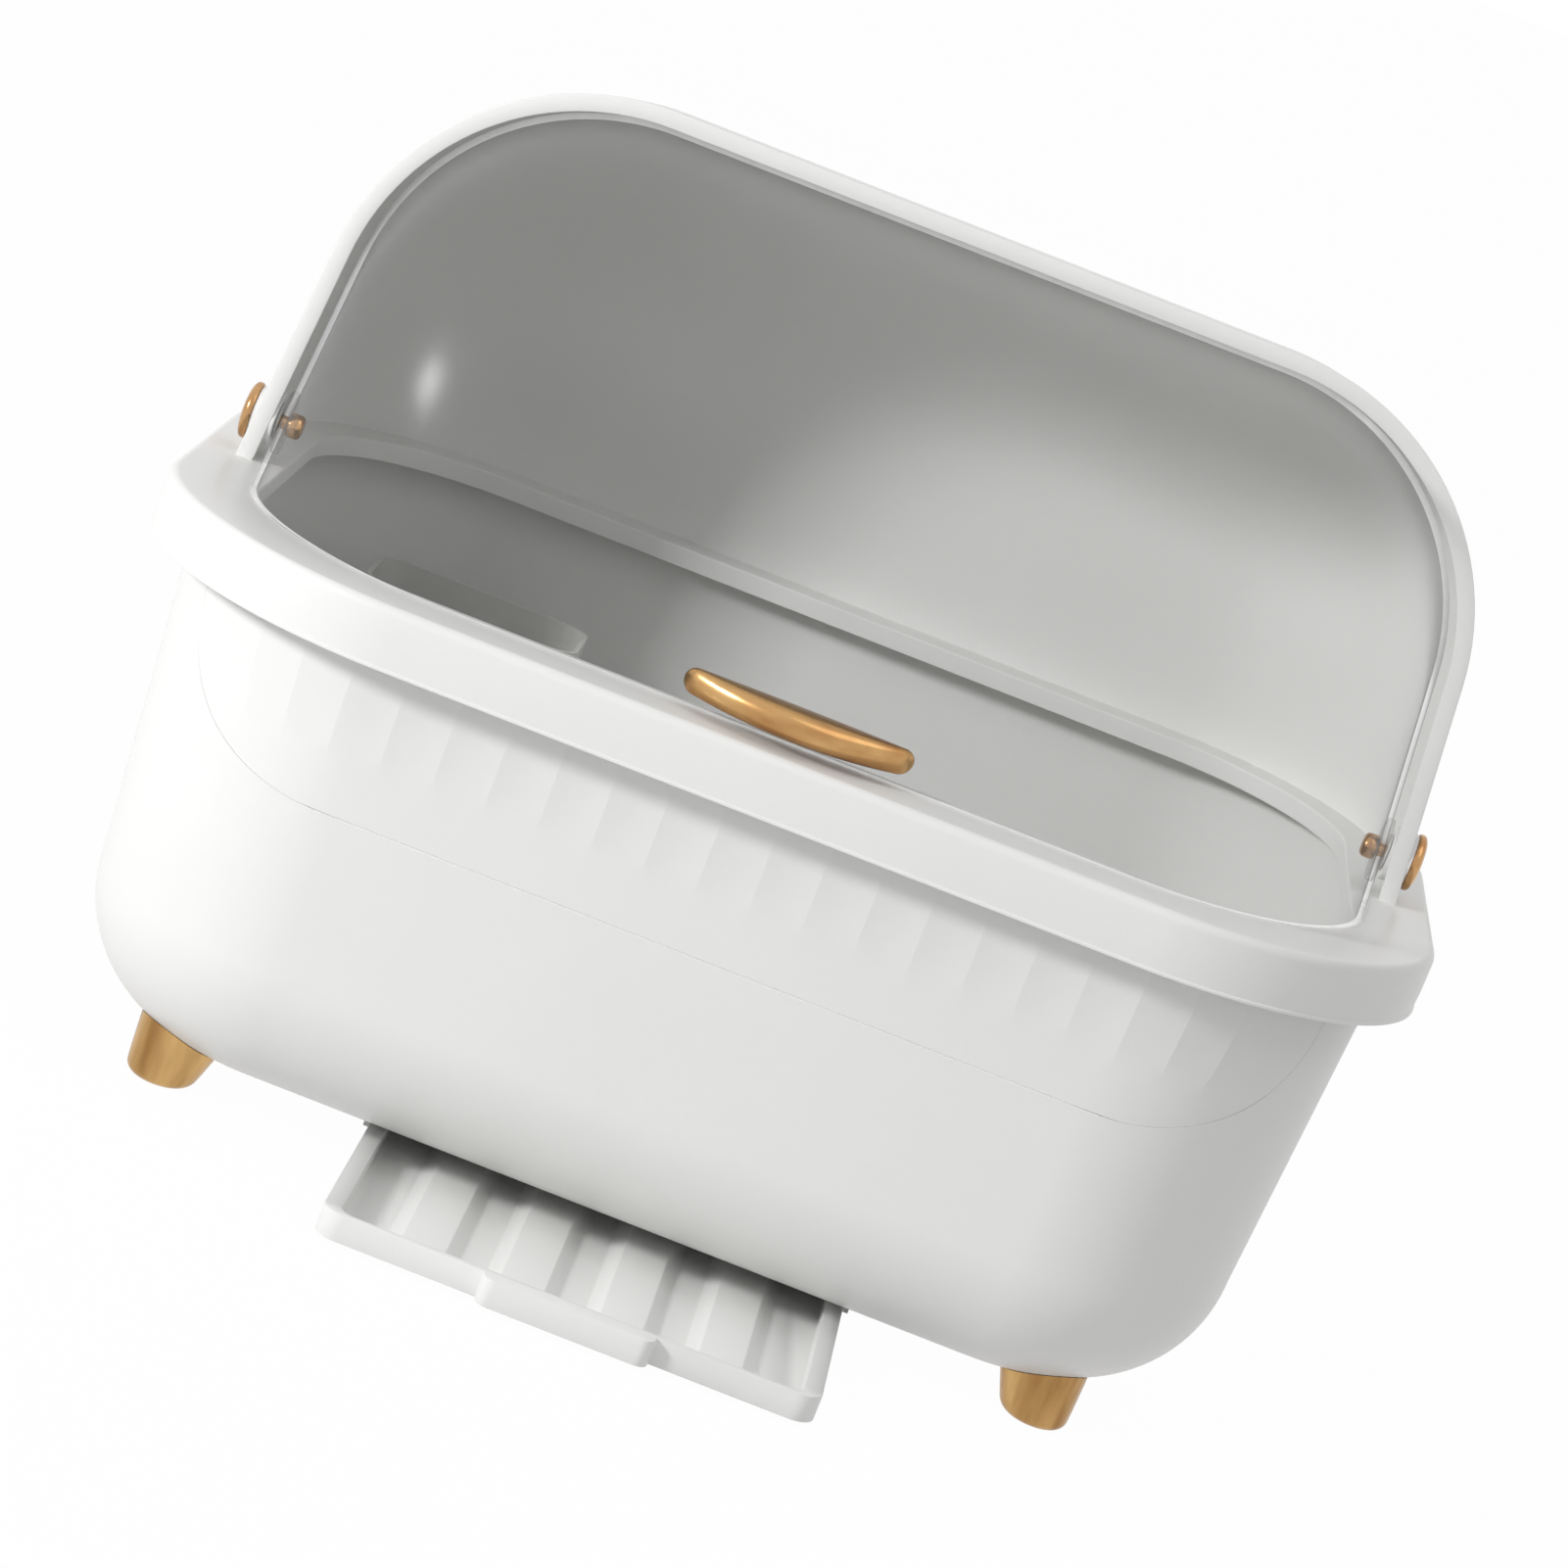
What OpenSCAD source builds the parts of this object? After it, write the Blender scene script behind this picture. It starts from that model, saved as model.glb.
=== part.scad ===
// Covered dish drying box on four feet: a fluted tub with a rim collar, a white rear
// hood, a clear lid that flips back inside the hood, and a drip tray that slides out
// under the tub. Millimetres, +Z up, standing on z = 0, front towards -Y.

/* [Collar] */
// Width of the collar, the widest part of the box
collar_w = 560; // [500:5:640]
// Depth of the collar from front to back
collar_d = 375; // [350:5:430]
// Height of the collar's outer skirt
collar_h = 26; // [20:1:34]
// Corner radius of the collar seen from above
collar_r = 120; // [100:5:135]
// Wall thickness of the collar
collar_wall = 2.6; // [2:0.2:4]
// Width of the collar's flat top flange
collar_flange = 38; // [34:1:44]
// Radius on the collar's top outer edge
collar_edge = 4; // [2:0.5:6]
// How far the collar stands out over the tub wall
collar_overhang = 16; // [13:1:20]
// Height of the lips under the flange
collar_lip = 9; // [6:1:12]

/* [Tub] */
// Height of the tub from its floor to its rim
tub_h = 223; // [190:1:260]
// Wall thickness of the tub
tub_wall = 2.5; // [2:0.1:4]
// Draft of the tub walls in degrees
tub_draft = 3.9; // [2:0.1:5]
// Radius between the tub's walls and its floor
tub_fillet = 62; // [50:1:68]
// Number of flutes on the front
flute_count = 21; // [11:2:25]
// Depth of a flute at its deep edge
flute_depth = 1.3; // [0.6:0.1:1.6]
// Depth of the fluted panel below the wall around it
panel_recess = 0.8; // [0.4:0.1:1.2]
// Height of the fluted panel below the collar's top
panel_drop = 94; // [80:1:110]
// Bare height between the flutes' ends and the panel's lower edge
panel_margin = 16; // [12:1:24]

/* [Hood] */
// Distance from the collar's outer face to the hood
hood_inset = 17; // [14:1:18]
// Wall thickness of the hood
hood_wall = 2.5; // [2:0.1:3]
// Draft of the hood sides in degrees
hood_draft = 5.5; // [4:0.5:7]
// Radius of the hood's upper corners seen from the front
hood_r = 116; // [100:2:130]
// Radius from the hood's roof to its back wall
hood_back_r = 100; // [80:2:120]
// Fall of the hood's roof towards the back in degrees
hood_fall = 6; // [3:0.5:7]
// Width of the flat rim round the hood's mouth
rim_w = 7.5; // [6.5:0.5:9]
// Depth of that rim from front to back
rim_d = 3; // [2:0.5:4]
// Distance of the hood's mouth in front of the collar's middle
mouth_offset = 20.5; // [18:0.5:23]

/* [Lid and hinge] */
// Wall thickness of the clear lid
lid_wall = 2.4; // [2:0.1:3]
// Clearance of the lid under the hood's rim
lid_gap = 1.3; // [1:0.1:1.6]
// Clearance between the lid's sides and the hood's rim
lid_side_gap = 3; // [2.6:0.1:3.4]
// Distance of the hinge axis behind the hood's mouth
axis_back = 12; // [11.5:0.5:13]
// Height of the hinge axis above the collar
axis_rise = 18; // [17:0.5:20]
// Plan radius of the lid's front corners
lid_r = 92; // [80:2:98]
// Distance from the collar's outer face to the lid's front
lid_inset = 28; // [26:1:30]
// Radius of the hinge pin's shaft
pin_r = 3; // [2.5:0.1:3.5]
// Radius of the round cap on the hinge pin
cap_r = 12.5; // [10:0.5:13]
// Thickness of the cap
cap_t = 4.6; // [3:0.2:6]
// Radius of the nut inside the lid
nut_r = 5.4; // [4.6:0.2:7]
// Length of the nut
nut_l = 6.4; // [5:0.2:8]
// Running clearance of the lid on the pin, on the radius
pin_clear = 0.08; // [0.05:0.01:0.1]
// Play between parts side by side on the pin
side_play = 0.3; // [0.2:0.05:0.4]
// Width of the lid's handle
handle_w = 97.5; // [80:1:120]
// How far the handle stands out at its middle
handle_d = 22; // [16:1:26]
// Thickness of the handle
handle_t = 10.4; // [8:0.2:11]
// Distance between the two handle screws
handle_pitch = 50; // [36:1:60]

/* [Feet] */
// Height of the tub's floor above the table
ground_gap = 17; // [16:0.5:22]
// Radius of a foot at the table
foot_r = 15.2; // [13:0.2:17]
// Radius of a foot where it meets the tub
foot_top_r = 18.4; // [17:0.2:20]
// Radius on a foot's lower edge
foot_edge = 5; // [3:0.5:6]
// Distance of a foot from the tub's corner centre, along the diagonal
foot_out = 46; // [40:1:50]

/* [Drip tray] */
// Width of the tray between the outer faces of its walls
tray_w = 204; // [160:2:230]
// Length of the tray from front to back
tray_l = 235; // [215:5:260]
// Height of the tray
tray_h = 11; // [10:0.5:12]
// Width of the flange that slides in the runner
tray_flange = 4; // [3:0.5:5]
// Wall thickness of the tray
tray_wall = 3.6; // [2.4:0.2:5]
// Floor thickness of the tray
tray_floor = 1.8; // [1.2:0.2:2.4]
// Gap between the tray and the tub above it
tray_gap = 2.5; // [2:0.1:3.5]
// How far the tray's front tab stands out past the collar as photographed
tray_reach = 47; // [30:1:70]
// Number of ribs on the tray's floor
rib_count = 4; // [2:1:4]
// Distance between neighbouring ribs
rib_pitch = 42.3; // [36:0.1:44]
// Width of a rib's flat top
rib_w = 18.5; // [12:0.5:22]
// Width of a rib's sloping side
rib_flank = 6; // [3:0.5:7]
// Height of a rib
rib_h = 4; // [2:0.5:5]
// Width of the finger tab on the tray's front
tab_w = 73; // [50:1:100]
// How far the tab stands out from the tray's front wall
tab_d = 8; // [5:0.5:12]
// Length of a tray runner
runner_l = 184; // [150:2:190]
// Thickness of a runner's plates
runner_t = 2.2; // [1.8:0.1:2.4]

/* [Inside] */
// Height of the drain rack's top above the tub's floor
rack_rise = 43; // [30:1:60]
// Gap between the rack and the collar's opening
rack_gap = 6; // [4:0.5:10]
// Thickness of the rack's plate
rack_t = 3; // [2:0.2:4]
// Height of the rack's raised edge
rack_edge = 8; // [4:1:12]
// Number of slot columns in the rack
slot_cols = 15; // [7:2:19]
// Number of slot rows in the rack
slot_rows = 4; // [2:1:5]
// Width of a drain slot
slot_w = 7; // [4:0.5:9]
// Length of a drain slot
slot_l = 46; // [30:1:50]
// Number of plates that the plate rack holds
plate_slots = 7; // [4:1:8]
// Distance between neighbouring plates
plate_pitch = 25; // [20:1:28]
// Distance between the plate rack's two rails
rail_gap = 96; // [70:2:110]
// Height of a divider peg
peg_h = 60; // [40:1:80]
// Radius of a divider peg
peg_r = 2.6; // [2:0.1:3]
// Width of the cutlery caddy
caddy_w = 100; // [80:1:110]
// Depth of the cutlery caddy
caddy_d = 62; // [50:1:66]
// Height of the cutlery caddy
caddy_h = 136; // [100:1:140]
// Wall thickness of the caddy
caddy_wall = 2.2; // [1.6:0.1:3]

/* [Hidden] */

// Facets of a round face
$fn = 64;
// Steps round a quarter turn of a lofted corner
corner_steps = 10;
// Steps round a quarter turn of the hood's and the lid's profile
profile_steps = 12;
// Overrun of a cut past the face that it opens
over = 1;
// Gap between still parts that are put together
fit_gap = 0.3;

// The box's middle: the tray stands out in front, and the origin is the middle of the whole
mid_y = tray_reach / 2;

// Levels
tub_top = ground_gap + tub_h;
collar_top = tub_top + collar_wall;
axis_z = collar_top + axis_rise;
fillet_top = ground_gap + tub_fillet;

// The tub's outline at its rim
tub_hw = collar_w / 2 - collar_overhang;
tub_hd = collar_d / 2 - collar_overhang;
tub_r = collar_r - collar_overhang;
// The place of the corner's centre, which all levels share
corner_x = tub_hw - tub_r;
corner_y = tub_hd - tub_r;

// The fluted panel
panel_line = collar_top - panel_drop;
panel_corner = 14;
panel_step = 0.8;
flute_end = panel_line + panel_margin;
flute_full = flute_end + panel_margin;
// Half the panel's width, as a share of the corner radius past the straight front
panel_share = 0.62;
// The flutes' outermost edges and their risers, as shares of the panel's half width
panel_edge_share = 0.996;
riser_share = 0.0018;

// The hood's outline and the hinge axis, measured from the box's middle
hood_hw = collar_w / 2 - hood_inset;
hood_back = collar_d / 2 - hood_inset;
hood_plan_r = collar_r - hood_inset;
mouth_y = -mouth_offset;
axis_y = mouth_y + axis_back;

// The lid's outline
lid_seat_gap = 0.6;
lid_base = collar_top + lid_seat_gap;
lid_front = -(collar_d / 2 - lid_inset);
lid_reach = axis_y - lid_front;
lid_rise = hood_back - hood_wall - lid_gap / 2 - axis_y;
lid_hw = hood_hw - rim_w - lid_side_gap;
// The lid reaches this far behind its hinge axis
lid_tail = 3;
lid_crown_z = axis_z + lid_rise;
// Corner radius of the lid seen from the front, as a share of its height
lid_corner_share = (hood_r - rim_w - lid_gap) / (lid_crown_z - lid_base);
// The hood's rim clears the crown of the lid
hood_h = axis_rise + lid_rise + lid_gap + rim_w;

// The stack along the hinge pin: the lid's ear has a flat seat sunk into its drafted wall
ear_sink = 0.2;
seat_gap = 0.6;
ear_t = 3;
ear_r = 14;
ear_out = lid_hw - axis_rise * tan(hood_draft) - ear_sink;
ear_in = ear_out - ear_t;
washer_t = 1;
washer_r = 8;
washer_in = ear_out + side_play;
boss_in = washer_in + washer_t + side_play;
boss_r = axis_back - fit_gap;
boss_proud = 1.3;
boss_out = hood_hw - axis_rise * tan(hood_draft) + boss_proud;
nut_out = ear_in - side_play;
nut_wall = 1.6;
cap_bevel = 0.8;
// Turned profiles towards the outer end, as shares of radius and length
cap_shares = [[1, 0.45], [0.93, 0.75], [0.75, 1], [0, 1]];
nut_shares = [[0, 0], [1, 0], [1, 0.6], [0.8, 0.9], [0.5, 1], [0, 1]];

// The tray's heights and the place of its front wall, measured from the box's middle
tray_top = ground_gap - tray_gap;
tray_base = tray_top - tray_h;
tray_front = -(collar_d / 2 + tray_reach - tab_d);
tray_corner = 10;
// The front wall stands this much higher than the flanges
front_rise = 0.6;
flange_t = 2.2;
// Play of the tray between its runners, on each side
tray_play = 0.75;
runner_web = tray_w / 2 + tray_flange + tray_play;
runner_lip = tray_w / 2 + tray_play;
lip_top = tray_top - flange_t - fit_gap;
runner_plate = 15;
runner_hole_x = runner_web + runner_t + (runner_plate - runner_t) / 2;
runner_hole_inset = 22;
runner_hole_y = runner_l / 2 - runner_hole_inset;

// Small screws
screw_r = 1.5;
screw_head_r = 3;
screw_head_t = 2.2;
screw_hole_r = 1.9;
pilot_gap = 0.05;
pilot_r = screw_r + pilot_gap;
recess_l = 4.2;
recess_w = 0.8;
recess_d = 1.1;
// Top radius of a screw's head, as a share of its radius
head_top_share = 0.7;
boss_h = 7;
floor_boss_r = 5;
foot_boss_r = 7;
foot_seat = ground_gap + tub_wall + boss_h;
foot_screw_l = 22;

// Drain holes over the tray
drain_r = 3.5;
drain_cols = 5;
drain_rows = 3;
drain_pitch = 32;

// The rack
rack_top = ground_gap + rack_rise;
rack_hw = collar_w / 2 - collar_flange - rack_gap;
rack_hd = collar_d / 2 - collar_flange - rack_gap;
rack_r = collar_r - collar_flange;
rack_edge_t = 2.4;
slot_margin_x = 20;
slot_margin_y = 10;
slot_pitch_x = (rack_hw - slot_margin_x) * 2 / slot_cols;
slot_pitch_y = (rack_hd - slot_margin_y) * 2 / slot_rows;

// The rack's legs stand on the flat of the tub's floor, between the slot columns
leg_r = 6;
leg_inset = 19;
floor_inset = (tub_top - fillet_top) * tan(tub_draft) + tub_fillet;
leg_col = floor((tub_hw - floor_inset - leg_inset) / slot_pitch_x - 0.5) + 0.5;
leg_y = tub_hd - floor_inset - leg_inset;

// The plate rack and the caddy stand on the rack
plate_inset = 62.5;
rail_w = 7;
plate_x = rack_hw - plate_inset - rail_w / 2 - rail_gap / 2;
rail_h = 6;
rail_l = plate_slots * plate_pitch + rail_w * 2;
caddy_inset = 34;
caddy_back_gap = 22.5;
caddy_x = -(rack_hw - caddy_inset - caddy_w / 2);
caddy_y = rack_hd - caddy_back_gap - caddy_d / 2;
caddy_r = 14;
caddy_base = rack_top + fit_gap;
caddy_slot_w = 4.5;
caddy_slots = 6;
// Height of the caddy's slots and of their middle, as shares of its own
caddy_slot_share = 0.6;
caddy_mid_share = 0.45;

// Colours
shell_white = "#F0F0EE";
inner_grey = "#DADAD6";
clear_grey = [0.86, 0.9, 0.9, 0.35];
rose_gold = "#C08A45";
satin_gold = "#C39B60";
steel = "#B9BBBD";

// A point list of a rounded rectangle at one level, anticlockwise from above
function outline(hw, hd, r, z, n) = [
    for (c = [0 : 3], i = [0 : n])
        let (a = 90 * (c + i / n), sx = (c == 0 || c == 3) ? 1 : -1, sy = (c < 2) ? 1 : -1)
            [sx * (hw - r) + r * cos(a), sy * (hd - r) + r * sin(a), z]
];

// Two triangles for each cell between rings of n points, closed round the ring
function ring_faces(rings, n) = [
    for (k = [0 : rings - 2], i = [0 : n - 1], t = [0, 1])
        let (a = k * n + i, b = k * n + (i + 1) % n)
            t == 0 ? [a, a + n, b + n] : [a, b + n, b]
];

// A solid lofted through rings, closed by flat ends
module loft(rings) {
    n = len(rings[0]);
    last = len(rings) - 1;
    polyhedron(
        points = [for (r = rings) each r],
        faces = concat(
            [[for (i = [0 : n - 1]) i]],
            ring_faces(last + 1, n),
            [[for (i = [n - 1 : -1 : 0]) last * n + i]]
        )
    );
}

// A closed hoop lofted through rings, the last joined to the first
module loft_hoop(rings) {
    n = len(rings[0]);
    m = len(rings);
    polyhedron(
        points = [for (r = rings) each r],
        faces = [
            for (k = [0 : m - 1], i = [0 : n - 1], t = [0, 1])
                let (a = k * n + i, b = k * n + (i + 1) % n, c = ((k + 1) % m) * n)
                    t == 0 ? [a, c + i, c + (i + 1) % n] : [a, c + (i + 1) % n, b]
        ]
    );
}

module rounded_plate(hw, hd, r) {
    square([2 * (hw - r), 2 * hd], center = true);
    square([2 * hw, 2 * (hd - r)], center = true);
    for (sx = [-1, 1], sy = [-1, 1])
        translate([sx * (hw - r), sy * (hd - r)]) circle(r);
}

module centred() {
    translate([0, mid_y, 0]) children();
}

module along_x(x0, x1, y, z, r) {
    translate([x0, y, z]) rotate([0, 90, 0]) cylinder(h = x1 - x0, r = r);
}

// Inset of the tub's wall below its rim
function draft_inset(z) = (tub_top - max(z, fillet_top)) * tan(tub_draft);

// Front face of the tub at x, for one level's outline
function front_y(x, hw, hd, r) =
    -(hd - r) - sqrt(max(0, r * r - pow(max(0, abs(x) - (hw - r)), 2)));

// The panel narrows towards its lower edge along a quarter circle
function panel_pinch(z) =
    z >= panel_line + panel_corner ? 0
    : panel_corner - sqrt(max(0, panel_corner * panel_corner
        - pow(panel_line + panel_corner - max(z, panel_line), 2)));

// Places across the front: [share of the panel's half width, in the panel, depth of the flute]
flute_cols = concat(
    [[-1, 0, 0]],
    [
        for (i = [0 : flute_count - 1], s = [0, 1])
            [panel_edge_share * (2 * (i + s) / flute_count - 1) - s * riser_share, 1, 1 - s]
    ],
    [[1, 0, 0]]
);

// One level of the tub: the fluted front, then the corners round the back
function tub_ring(inset, z, recess, flute) =
    let (
        hw = tub_hw - inset,
        hd = tub_hd - inset,
        r = tub_r - inset,
        half = hw - r + panel_share * r - panel_pinch(z),
        a0 = asin((half - (hw - r)) / r),
        n = corner_steps
    )
    concat(
        [
            for (c = flute_cols)
                let (x = c[0] * half)
                    [x, front_y(x, hw, hd, r) + c[1] * recess + c[2] * flute, z]
        ],
        [
            for (i = [1 : n])
                let (a = a0 + (90 - a0) * i / n)
                    [hw - r + r * sin(a), -(hd - r) - r * cos(a), z]
        ],
        [for (i = [0 : n]) let (a = 90 * i / n) [hw - r + r * cos(a), hd - r + r * sin(a), z]],
        [for (i = [0 : n]) let (a = 90 * i / n) [r - hw - r * sin(a), hd - r + r * cos(a), z]],
        [
            for (i = [0 : n - 1])
                let (a = 90 - (90 - a0) * i / n)
                    [r - hw - r * sin(a), -(hd - r) - r * cos(a), z]
        ]
    );

// The round between wall and floor, for a wall thickness t inside the outer face
fillet_steps = 6;
function fillet_rings(t) = [
    for (i = [0 : fillet_steps])
        let (a = 90 * i / fillet_steps, r = tub_fillet - t)
            [draft_inset(fillet_top) + tub_fillet - r * sin(a), ground_gap + tub_fillet - r * cos(a)]
];

function panel_levels() = [
    [panel_line - panel_step, 0, 0],
    for (i = [0 : 3])
        [panel_line + panel_corner * (1 - cos(90 * i / 3)), panel_recess, 0],
    [flute_end, panel_recess, 0],
    [flute_full, panel_recess, flute_depth],
    [tub_top, panel_recess, flute_depth]
];

module tub_shell() {
    outer = concat(
        [for (f = fillet_rings(0)) tub_ring(f[0], f[1], 0, 0)],
        [for (p = panel_levels()) tub_ring(draft_inset(p[0]), p[0], p[1], p[2])]
    );
    inner = [for (f = fillet_rings(tub_wall)) tub_ring(f[0], f[1], 0, 0)];
    inner_top = tub_ring(tub_wall + panel_recess + flute_depth, tub_top, 0, 0);
    loft(concat(outer, [inner_top], [for (i = [len(inner) - 1 : -1 : 0]) inner[i]]));
}

// The hollow of the tub, let into its wall by a small amount
module tub_hollow(bite) {
    levels = concat(fillet_rings(tub_wall - bite), [[tub_wall - bite, tub_top]]);
    loft([
        for (f = levels)
            outline(tub_hw - f[0], tub_hd - f[0], tub_r - f[0], f[1], corner_steps)
    ]);
}

foot_x = corner_x + foot_out * cos(45);
foot_y = corner_y + foot_out * sin(45);

module tub() {
    color(shell_white) centred() difference() {
        union() {
            tub_shell();
            intersection() {
                for (sx = [-1, 1], sy = [-1, 1])
                    translate([sx * foot_x, sy * foot_y, ground_gap])
                        cylinder(h = foot_seat - ground_gap, r = foot_boss_r);
                tub_hollow(over);
            }
            for (sx = [-1, 1], sy = [-1, 1])
                translate([sx * runner_hole_x, sy * runner_hole_y, ground_gap + tub_wall / 2])
                    cylinder(h = boss_h + tub_wall / 2, r = floor_boss_r);
        }
        for (sx = [-1, 1], sy = [-1, 1]) {
            translate([sx * foot_x, sy * foot_y, ground_gap - over])
                cylinder(h = foot_seat - ground_gap + 2 * over, r = screw_hole_r);
            translate([sx * runner_hole_x, sy * runner_hole_y, ground_gap - over])
                cylinder(h = boss_h + over, r = pilot_r);
        }
        for (i = [0 : drain_cols - 1], j = [0 : drain_rows - 1])
            translate([
                (i - (drain_cols - 1) / 2) * drain_pitch,
                -(j + 0.5) * drain_pitch,
                ground_gap - over
            ])
                cylinder(h = tub_wall + 2 * over, r = drain_r);
    }
}

// The collar's section: [distance inwards from its outer face, height over its top]
lip_share = 0.8;
function collar_section() =
    let (
        w = collar_wall,
        f = collar_flange,
        rib_out = collar_overhang + tub_wall + panel_recess + flute_depth + fit_gap
            + (collar_lip - w) * tan(tub_draft),
        rib_in = rib_out + w * lip_share
    )
    concat(
        [[0, -collar_h]],
        [for (i = [0 : 3]) [collar_edge * (1 - cos(30 * i)), collar_edge * (sin(30 * i) - 1)]],
        [
            [f - w / 3, 0], [f, -w / 3], [f, -collar_lip], [f - w * lip_share, -collar_lip],
            [f - w * lip_share, -w], [rib_in, -w], [rib_in, -collar_lip],
            [rib_out, -collar_lip], [rib_out, -w], [w, -w], [w * lip_share, -collar_h]
        ]
    );

// Tabs under the hood that stand in slots in the collar, over the tub's rim: [x, y, turn]
key_l = 16;
key_t = 2;
key_drop = collar_wall - fit_gap;
// Place of the back's outer tabs, as a share of its straight half
key_share = 0.7;
key_places = [
    for (s = [-1, 1]) [s * (hood_hw - hood_wall / 2), mouth_y + hood_back / 3, 90],
    for (s = [-1, 0, 1]) [s * (hood_hw - hood_plan_r) * key_share, hood_back - hood_wall / 2, 0]
];

module rim_collar() {
    color(shell_white) centred() difference() {
        loft_hoop([
            for (s = collar_section())
                outline(collar_w / 2 - s[0], collar_d / 2 - s[0], collar_r - s[0],
                    collar_top + s[1], corner_steps)
        ]);
        for (p = key_places)
            translate([p[0], p[1], collar_top - collar_wall / 2]) rotate([0, 0, p[2]])
                cube([key_l + 2 * fit_gap, key_t + 2 * fit_gap, collar_wall + 2 * over],
                    center = true);
    }
}

// An upturned U seen from the front: half width w at height z0, top at z1, corner radius r
function arch(w, y, z0, z1, r, t) =
    let (
        x = w - (r + (z1 - z0 - r) * sin(t)) / cos(t),
        right = concat(
            [[w, y, z0]],
            [
                for (i = [0 : profile_steps])
                    let (a = t + (90 - t) * i / profile_steps)
                        [x + r * cos(a), y, z1 - r + r * sin(a)]
            ]
        )
    )
    concat(right, [for (i = [len(right) - 1 : -1 : 0]) [-right[i][0], y, right[i][2]]]);

// A shell between two rows of arches that start at its mouth and end in flat walls
module arch_shell(outer, inner) {
    n = len(outer[0]);
    m = len(outer);
    // Rings run from the inner wall out to the mouth, and on to the outer wall
    rings = concat([for (k = [m - 1 : -1 : 0]) inner[k]], outer);
    last = 2 * m - 1;
    polyhedron(
        points = [for (r = rings) each r],
        faces = concat(
            [
                for (k = [0 : last - 1], i = [0 : n - 2], t = [0, 1])
                    let (a = k * n + i)
                        t == 0 ? [a, a + n + 1, a + n] : [a, a + 1, a + n + 1]
            ],
            [[for (i = [n - 1 : -1 : 0]) i]],
            [[for (i = [0 : n - 1]) last * n + i]],
            [
                for (k = [0 : m - 2], t = [0, 1])
                    let (a = k * n, b = (last - k) * n)
                        t == 0 ? [a, a + n, b - n] : [a, b - n, b]
            ],
            [
                for (k = [0 : m - 2], t = [0, 1])
                    let (a = k * n + n - 1, b = (last - k) * n + n - 1)
                        t == 0 ? [a, b - n, a + n] : [a, b, b - n]
            ],
            [[0, last * n, last * n + n - 1], [0, last * n + n - 1, n - 1]]
        )
    );
}

// One arch of the hood at y, for a skin t inside the outer face. Its upper corners tighten
// by a share of what the plan's corner takes from its width, and never reach its foot.
corner_fade_share = 0.95;
corner_limit_share = 0.94;
function hood_arch(y, t) =
    let (
        rp = hood_plan_r - t,
        rb = hood_back_r - t,
        yb = hood_back - t,
        dw = rp - sqrt(max(0, rp * rp - pow(max(0, y - (yb - rp)), 2))),
        dh = rb - sqrt(max(0, rb * rb - pow(max(0, y - (yb - rb)), 2))),
        rise = hood_h - t - dh - (y - mouth_y) * tan(hood_fall),
        r = min(hood_r - t - dw * corner_fade_share, rise * corner_limit_share)
    )
    arch(hood_hw - t - dw, y, collar_top, collar_top + rise, r, hood_draft);

// Places of the arches behind the rim: first along the roof, then round the plan's corner
rim_back = mouth_y + rim_d + hood_wall;
roof_steps = 4;
function hood_stations(t) =
    let (start = hood_back - hood_plan_r)
    concat(
        [for (i = [0 : roof_steps - 1]) rim_back + (start - rim_back) * i / roof_steps],
        [for (i = [0 : corner_steps]) start + (hood_plan_r - t) * sin(90 * i / corner_steps)]
    );

module hood_shell() {
    outer = [for (y = concat([mouth_y, mouth_y + rim_d], hood_stations(0))) hood_arch(y, 0)];
    inner = concat(
        [for (y = [mouth_y, mouth_y + rim_d]) hood_arch(y, rim_w)],
        [for (y = hood_stations(hood_wall)) hood_arch(y, hood_wall)]
    );
    arch_shell(outer, inner);
}

module rear_hood() {
    color(shell_white) centred() difference() {
        union() {
            hood_shell();
            for (s = [0, 1]) mirror([s, 0, 0])
                along_x(boss_in, boss_out, axis_y, axis_z, boss_r);
            for (p = key_places)
                translate([p[0], p[1], collar_top + (hood_wall - key_drop) / 2])
                    rotate([0, 0, p[2]])
                        cube([key_l, key_t, hood_wall + key_drop], center = true);
        }
        for (s = [0, 1]) mirror([s, 0, 0])
            along_x(boss_in - over, boss_out + over, axis_y, axis_z, pin_r + pin_clear);
    }
}

// Half width of the lid at y, for a skin t inside its outer face
function lid_half(y, t) =
    let (
        rp = lid_r - t,
        yc = lid_front + lid_r,
        drop = rp - sqrt(max(0, rp * rp - pow(max(0, yc - y), 2)))
    )
    lid_hw - t - (axis_y - y) * tan(hood_draft) - drop;

function lid_crown(a, t) = axis_z + (lid_rise - t) * cos(a);

function lid_ring(y, crown, t) =
    arch(lid_half(y, t), y, lid_base, crown, lid_corner_share * (crown - lid_base), hood_draft);

lid_steps = 14;

module lid_shell() {
    function rows(t) = concat(
        [lid_ring(axis_y + lid_tail, lid_crown(0, t), t)],
        [
            for (i = [0 : lid_steps])
                let (a = 90 * i / lid_steps)
                    lid_ring(axis_y - (lid_reach - t) * sin(a), lid_crown(a, t), t)
        ]
    );
    mirror([0, 1, 0]) arch_shell(
        [for (r = rows(0)) [for (p = r) [p[0], -p[1], p[2]]]],
        [for (r = rows(lid_wall)) [for (p = r) [p[0], -p[1], p[2]]]]
    );
}

handle_rise = 11.5;
handle_z = collar_top + handle_rise;
handle_back = lid_front - fit_gap;

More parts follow.
